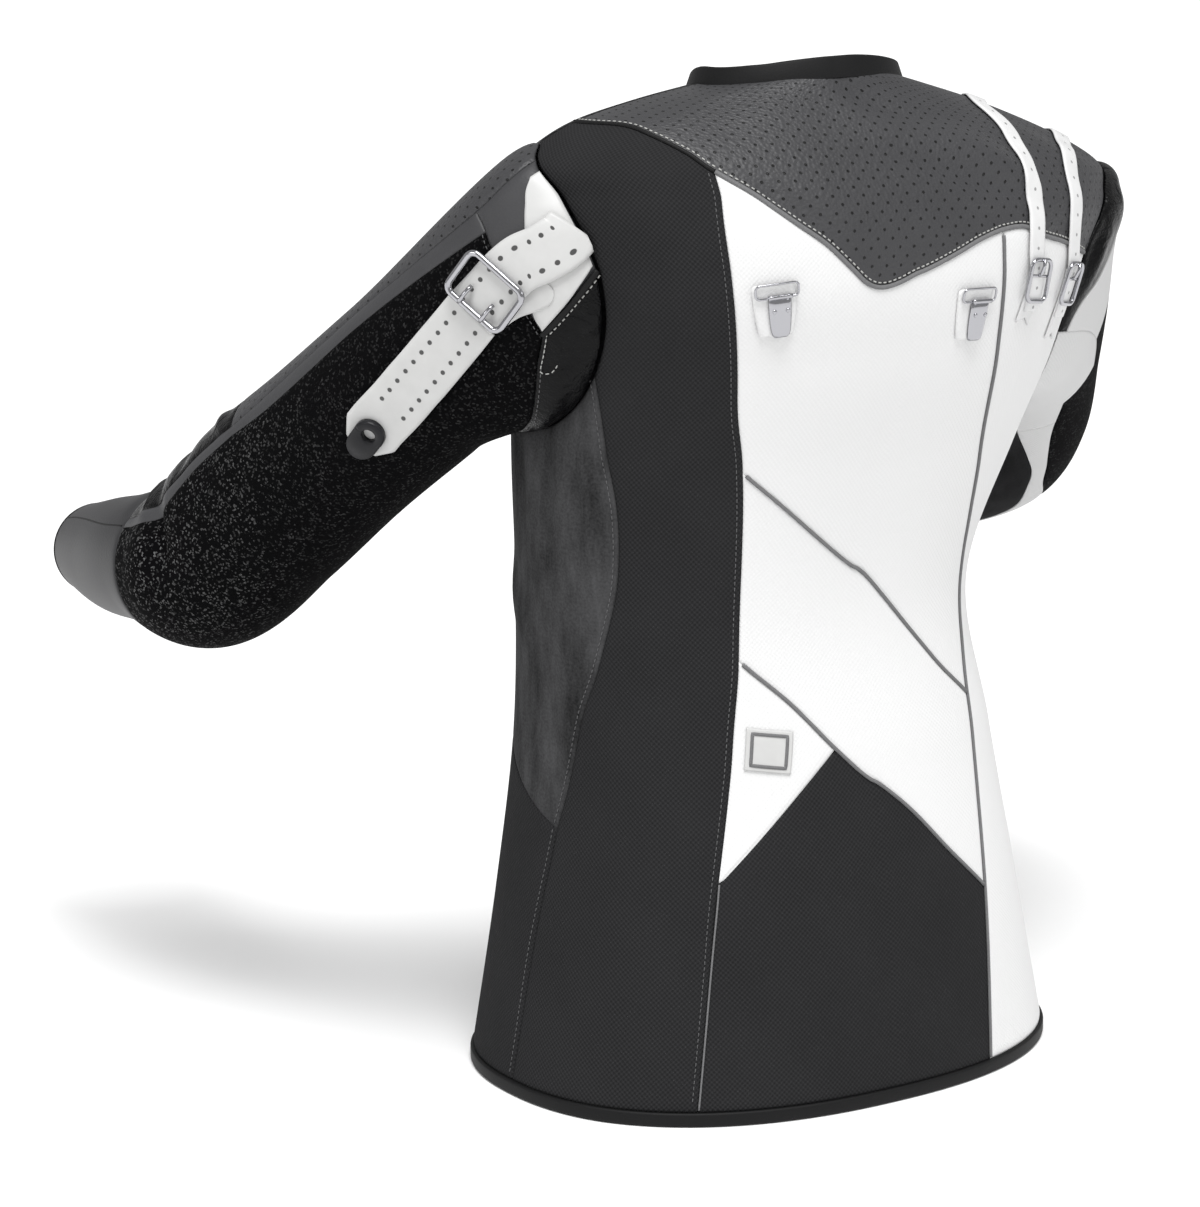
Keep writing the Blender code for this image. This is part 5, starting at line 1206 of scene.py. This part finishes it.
class BuildLeftSleeve(bpy.types.Operator):
    """Lay the panels of the left sleeve."""
    bl_idname = "jacket.left_sleeve"
    bl_label = "Left sleeve"

    def execute(self, context):
        s, start = "left", SLEEVE_START
        head_front, top_edge = (LEFT_TOP_EDGE, 3, 0, 2), (LEFT_TOP_EDGE, 12, 2)
        head_foot = (LEFT_HEAD_SEAM, 5)
        stripe_top = (LEFT_TOP_EDGE[2], LEFT_HEAD_SEAM[0]), 1
        grip_side = [(LEFT_STRIPE_EDGE, 12), (LEFT_GRIP_TAIL, 7)]
        stripe_tail = (LEFT_STRIPE_TAIL, 7)
        gusset_side, gusset_foot = (LEFT_GUSSET_SIDE, 3), (LEFT_GUSSET_FOOT, 7)
        elbow_top = level(0.250, (-35, 46), 5)
        under_high, under_low = plumb(215, (start, 0.030), 3), plumb(215, (0.030, 0.400), 19)
        panel("sleeve_left_top", "perforated_leather", s, [level(start, (-35, 24), 5)], [elbow_top],
              [plumb(-35, (start, 0.250), 15)], [head_front, top_edge])
        panel("sleeve_left_stripe", "stripe_leather", s, [stripe_top], [level(0.400, (50, 57), 1)],
              [top_edge, stripe_tail], grip_side, puff=0.0006)
        panel("sleeve_left_head", "stripe_leather", s, [level(start, (24, 79), 6)], [stripe_top, head_foot],
              [head_front], [gusset_side])
        panel("sleeve_left_gusset", "nappa_leather", s, [(((79, start), (130, 0.002), (175, 0.003),
                                                           (215, start)), 7)],
              [gusset_foot], [gusset_side], [under_high], puff=0.0024)
        panel("sleeve_left_grip", "grip_rubber", s, [head_foot, gusset_foot], [level(0.400, (57, 215), 12)],
              grip_side, [under_low])
        panel("sleeve_left_under", "dark_canvas", s, [level(start, (215, 325), 6)],
              [level(0.400, (215, 325), 6)],
              [under_high, under_low], [plumb(325, (start, 0.250), 15), plumb(325, (0.250, 0.400), 7)])
        panel("sleeve_left_elbow", "nappa_leather", s, [elbow_top], [level(0.400, (-35, 50), 5)],
              [plumb(-35, (0.250, 0.400), 7)], [stripe_tail], slot="stripe_leather")
        cuff("sleeve_left_cuff", "grey_leather", s, -35, 0.4003, 0.5995, 14)
        edging("sleeve_left_cuff_edge", s, 0.5992)
        trim("sleeve_left_cuff_seam", "black_binding", s,
             ((43, 0.597), (44, 0.554), (50, 0.480), (55, 0.4284), (56, 0.403)), 0.0016, 0.0003, -0.0001,
             cells=80)
        return {"FINISHED"}


class BuildRightSleeve(bpy.types.Operator):
    """Lay the panels of the right sleeve."""
    bl_idname = "jacket.right_sleeve"
    bl_label = "Right sleeve"

    def execute(self, context):
        s, start = "right", SLEEVE_START
        cap_back, cap_top = (RIGHT_CAP_LINE, 7, 0, 5), (RIGHT_CAP_LINE, 5, 5)
        cap_front, band_front = plumb(116, (start, 0.011), 3), (((116, 0.011), (115, 0.076)), 2)
        grip_front = [(((115, 0.076), (118, 0.106)), 2), (((118, 0.106), (148, 0.112)), 1),
                      (((148, 0.112), (152, 0.132)), 1)]
        band_low, band_side = (((115, 0.076), (80, 0.074), (30, 0.072)), 7), plumb(30, (0.052, 0.072), 2)
        inner_top, strip_top = level(0.132, (290, 180), 6), level(0.132, (180, 152), 2)
        strip_edge, inner_edge = (RIGHT_STRIP_EDGE, 8), (RIGHT_INNER_EDGE, 8)
        top_side = plumb(30, (0.072, 0.300), 12)
        # the white canvas of this sleeve wears its greyer copy, which is painted shade
        shaded_white = {"slot": "white_canvas", "dip": 0.0}
        panel("sleeve_right_cap", "nappa_leather", s, [level(start, (116, -70), 12)], [cap_back, cap_top],
              [cap_front], [plumb(-70, (start, 0.052), 3)], puff=0.0008)
        panel("sleeve_right_band", "shaded_sleeve_canvas", s, [cap_back], [band_low], [band_front], [band_side],
              **shaded_white)
        panel("sleeve_right_white", "shaded_sleeve_canvas", s, [level(start, (290, 116), 8)], [inner_top, strip_top],
              [plumb(290, (start, 0.052), 3), plumb(290, (0.052, 0.132), 6)],
              [cap_front, band_front, *grip_front],
              **shaded_white)
        panel("sleeve_right_top", "dark_canvas", s, [cap_top], [level(0.300, (30, -70), 5)],
              [band_side, top_side],
              [plumb(-70, (0.052, 0.132), 6), plumb(-70, (0.132, 0.300), 8)])
        panel("sleeve_right_grip", "grip_rubber", s, [band_low], [level(0.300, (150, 30), 7)],
              [*grip_front, strip_edge], [top_side])
        panel("sleeve_right_strip", "shaded_sleeve_canvas", s, [strip_top], [level(0.300, (184, 150), 2)],
              [inner_edge],
              [strip_edge], slot="white_canvas", dip=0.0003)
        # its suede is the darker copy, which is painted shade
        panel("sleeve_right_inner", "shaded_suede", s, [inner_top], [level(0.300, (290, 184), 6)],
              [plumb(290, (0.132, 0.300), 8)], [inner_edge], slot="suede")
        cuff("sleeve_right_cuff", "white_canvas", s, -70, 0.3003, 0.5295, 16)
        edging("sleeve_right_cuff_edge", s, 0.5290)
        return {"FINISHED"}


class BuildSling(bpy.types.Operator):
    """Make the anchor patch at the left armhole, the sling strap, its buckle and the hook."""
    bl_idname = "jacket.sling"
    bl_label = "Sling"

    def execute(self, context):
        s, wide, thick = "left", context.scene.jacket_sizes.sling, 0.0022
        spread, edge = soft_edge(17, thick, 0.4, 0.05)
        depth = (thick - edge)[None, :, None]
        low, normal = on_form(s, divided(s, SLING_LOW, 8), 0.0010)
        way = unit(np.gradient(low, axis=0))
        side = unit(np.cross(way, normal))
        out = np.cross(side, way)
        run = np.concatenate([[0], np.cumsum(np.linalg.norm(np.diff(low, axis=0), axis=1))])
        half = np.minimum(wide / 2, 0.0120 + (run[-1] - run) * 0.62)
        under = low[:, None] + side[:, None] * (spread[None, :, None] * half[:, None, None])
        uv = np.stack(np.broadcast_arrays(spread[None] * half[:, None], run[:, None]), -1)
        slab("sling_strap_low_webbing", "sling_strap", under + out[:, None] * depth, under,
             ("sling_strap_low",),
             uv)
        grid = strip_grid(s, SLING_HIGH, 9, 0.036, 16)
        rise = 0.0034 + 0.0016 * np.sin(np.linspace(0.2, 2.6, len(grid)))[:, None]
        outer, normal = on_form(s, grid, rise + thick - edge[None])
        uv = np.stack(np.broadcast_arrays(spread[None] * 0.018, lengths(s, grid[:, 8])[:, None] - 0.0020), -1)
        slab("sling_strap_high_webbing", "sling_strap", outer, outer - normal * depth, ("sling_strap_high",),
             uv)
        taper = np.sqrt(1 - np.clip(np.linspace(-4.0, 0.985, 6 * FINE + 1), 0, 1) ** 2)
        grid = strip_grid(s, SLING_TAIL, 6, 0.0170, 10, taper)
        outer, normal = on_form(s, grid, 0.0034)
        slab("sling_tail_webbing", "white_strap", outer, outer - normal * 0.0012, (),
             cloth_uv(s, grid))
        high, right, foot, left = SLING_ANCHOR
        grid = patch(divided(s, (high, right), 8), divided(s, SLING_ANCHOR_FOOT, 8),
                     divided(s, (high, left), 2), divided(s, (right, foot), 2))
        outer, normal = on_form(s, grid, 0.0026)
        slab("sling_anchor_cloth", "white_strap", outer, outer - normal * 0.0022, ("sling_anchor",),
             cloth_uv(s, grid))
        trim("sling_anchor_binding", "black_binding", s, beside(s, LEFT_GUSSET_SIDE, 0.0002, 24), 0.0042,
             0.0012,
             0.0016, cells=40)
        self.buckle(frame_at(s, SLING_BUCKLE, (7, 0.009), 0.0098))
        self.hook((low[-1] + out[-1] * thick, side[-1], way[-1], out[-1]))
        return {"FINISHED"}

    def buckle(self, axes):
        """A roller buckle with two prongs."""
        bm = bmesh.new()
        wire_frame(bm, axes, 0.046, 0.032, 0.0060, 0.0023, arc=8, sides=16)
        wire_bar(bm, axes, 0.021, 0.0150, -0.0004, 0.0013, points=13)
        for x in (-0.0095, 0.0095):
            prong = [(x, 0.0165, 0.0010), (x, 0.0145, 0.0024), (x, 0.0105, 0.0022), (x, 0.0060, 0.0010),
                     (x, 0.0035, -0.0012)]
            wire(bm, local(axes, prong), 0.0015, axes[1])
        piece("sling_buckle_steel", bm, ("chrome",), ("sling_buckle",))

    def hook(self, axes):
        """A ring with an eye in it and a blunt nose, as rings of points from the eye outwards."""
        turn = np.radians(np.linspace(0, 360, 49))
        reach = 0.0108 + 0.0112 * np.clip(np.sin(turn), 0, 1) ** 3
        way = np.stack([np.cos(turn), np.sin(turn), 0 * turn], -1)
        centre = np.array([0.0, -0.014, 0.0008])
        rings = [(np.full(49, 0.0046), 0.0030), (np.full(49, 0.0052), 0.0040), (np.full(49, 0.0080), 0.0046),
                 (reach - 0.0008, 0.0040), (reach, 0.0030)]
        grid = np.array([centre + (0, 0, height) + out[:, None] * way for out, height in rings])
        piece("sling_hook_moulding", closed_sheet(local(axes, grid), local(axes, grid * (1, 1, 0))),
              ("black_plastic",), ("sling_hook",))


class BuildStitching(bpy.types.Operator):
    """Sew the rows of topstitching along the seams."""
    bl_idname = "jacket.stitching"
    bl_label = "Topstitching"

    def execute(self, context):
        for name, kind, rows in STITCHING:
            bm = bmesh.new()
            for form, line, offset, points, thick, lift in rows:
                stitches(bm, form, beside(form, line, offset, points), thick, lift)
            piece(f"stitching_{name}", bm, (kind,))
        return {"FINISHED"}


def stand(name, data, place, way):
    """Puts a light or the camera on the stage, looking along a direction."""
    made = bpy.data.objects.new(name, data)
    made.location = place
    made.rotation_mode = "QUATERNION"
    made.rotation_quaternion = Vector(way).to_track_quat("-Z", "Y")
    bpy.context.scene.collection.objects.link(made)
    return made


class BuildStage(bpy.types.Operator):
    """Lay the floor, hang the lights and set the camera at the photograph's angle."""
    bl_idname = "jacket.stage"
    bl_label = "Stage"

    def execute(self, context):
        scene = context.scene
        scene.view_settings.view_transform = "Standard"
        bm = grid_cells(1, 1)
        bmesh.ops.scale(bm, verts=bm.verts[:], vec=(80, 80, 1))
        mesh = bpy.data.meshes.new("floor")
        bm.to_mesh(mesh)
        bm.free()
        mesh.materials.append(blank("painted_floor_white", linear("#f8f8f8"), 0.95,
                                    Specular_IOR_Level=0.0)[0])
        floor = bpy.data.objects.new("floor", mesh)
        scene.collection.objects.link(floor)
        floor.location.z = -0.0005
        world = bpy.data.worlds.new("studio")
        world.use_nodes = True
        background = world.node_tree.nodes["Background"].inputs
        background["Color"].default_value = (1, 1, 1, 1)
        background["Strength"].default_value = 0.42
        scene.world = world
        # a wide overhead softbox, so large and even that it is written as a sun, and two small panels
        data = bpy.data.lights.new("overhead", "SUN")
        data.energy, data.angle = 3.0, math.radians(32)
        stand("overhead", data, (0, 0, 0), (-0.25, -0.45, -1.25))
        middle = Vector((0.03, 0.15, 0.35))
        for name, place, wide, power in (("left_panel", (2.6, 0.4, 1.6), 0.9, 9.0),
                                         ("right_panel", (-0.9, 2.8, 1.9), 0.7, 7.0)):
            data = bpy.data.lights.new(name, "AREA")
            data.shape, data.size, data.energy = "DISK", wide, power
            stand(name, data, place, middle - Vector(place))
        azimuth, elevation, away = math.radians(146), math.radians(12.5), 2.8
        back = Vector((math.sin(azimuth) * math.cos(elevation), -math.cos(azimuth) * math.cos(elevation),
                       math.sin(elevation)))
        data = bpy.data.cameras.new("photo")
        data.lens, data.sensor_width, data.clip_end = 121.1, 36.0, 100.0
        scene.camera = stand("photo", data, Vector((0.1161, 0.1010, 0.312)) + back * away, -back)
        return {"FINISHED"}


STEPS = (BuildFinishes, BuildBody, BuildRims, BuildTrims, BuildShoulderStraps, BuildLeftSleeve,
         BuildRightSleeve,
         BuildSling, BuildStitching, BuildStage)


class JacketPanel(bpy.types.Panel):
    bl_idname = "VIEW3D_PT_jacket"
    bl_label = "Jacket"
    bl_space_type = "VIEW_3D"
    bl_region_type = "UI"
    bl_category = "Jacket"

    def draw(self, context):
        for group in (context.scene.jacket_sizes, context.scene.jacket_colours):
            box = self.layout.box()
            for name in group.bl_rna.properties.keys():
                if name not in ("rna_type", "name"):
                    box.prop(group, name)
        for step in STEPS:
            self.layout.operator(step.bl_idname)


def register():
    for group in (JacketSizes, JacketColours, *STEPS, JacketPanel):
        bpy.utils.register_class(group)
    bpy.types.Scene.jacket_sizes = bpy.props.PointerProperty(type=JacketSizes)
    bpy.types.Scene.jacket_colours = bpy.props.PointerProperty(type=JacketColours)


def unregister():
    del bpy.types.Scene.jacket_colours
    del bpy.types.Scene.jacket_sizes
    for group in reversed((JacketSizes, JacketColours, *STEPS, JacketPanel)):
        bpy.utils.unregister_class(group)


def main():
    register()
    bpy.ops.jacket.finishes()
    bpy.ops.jacket.body()
    bpy.ops.jacket.rims()
    bpy.ops.jacket.trims()
    bpy.ops.jacket.shoulder_straps()
    bpy.ops.jacket.left_sleeve()
    bpy.ops.jacket.right_sleeve()
    bpy.ops.jacket.sling()
    bpy.ops.jacket.stitching()
    bpy.ops.jacket.stage()


if __name__ == "__main__":
    main()
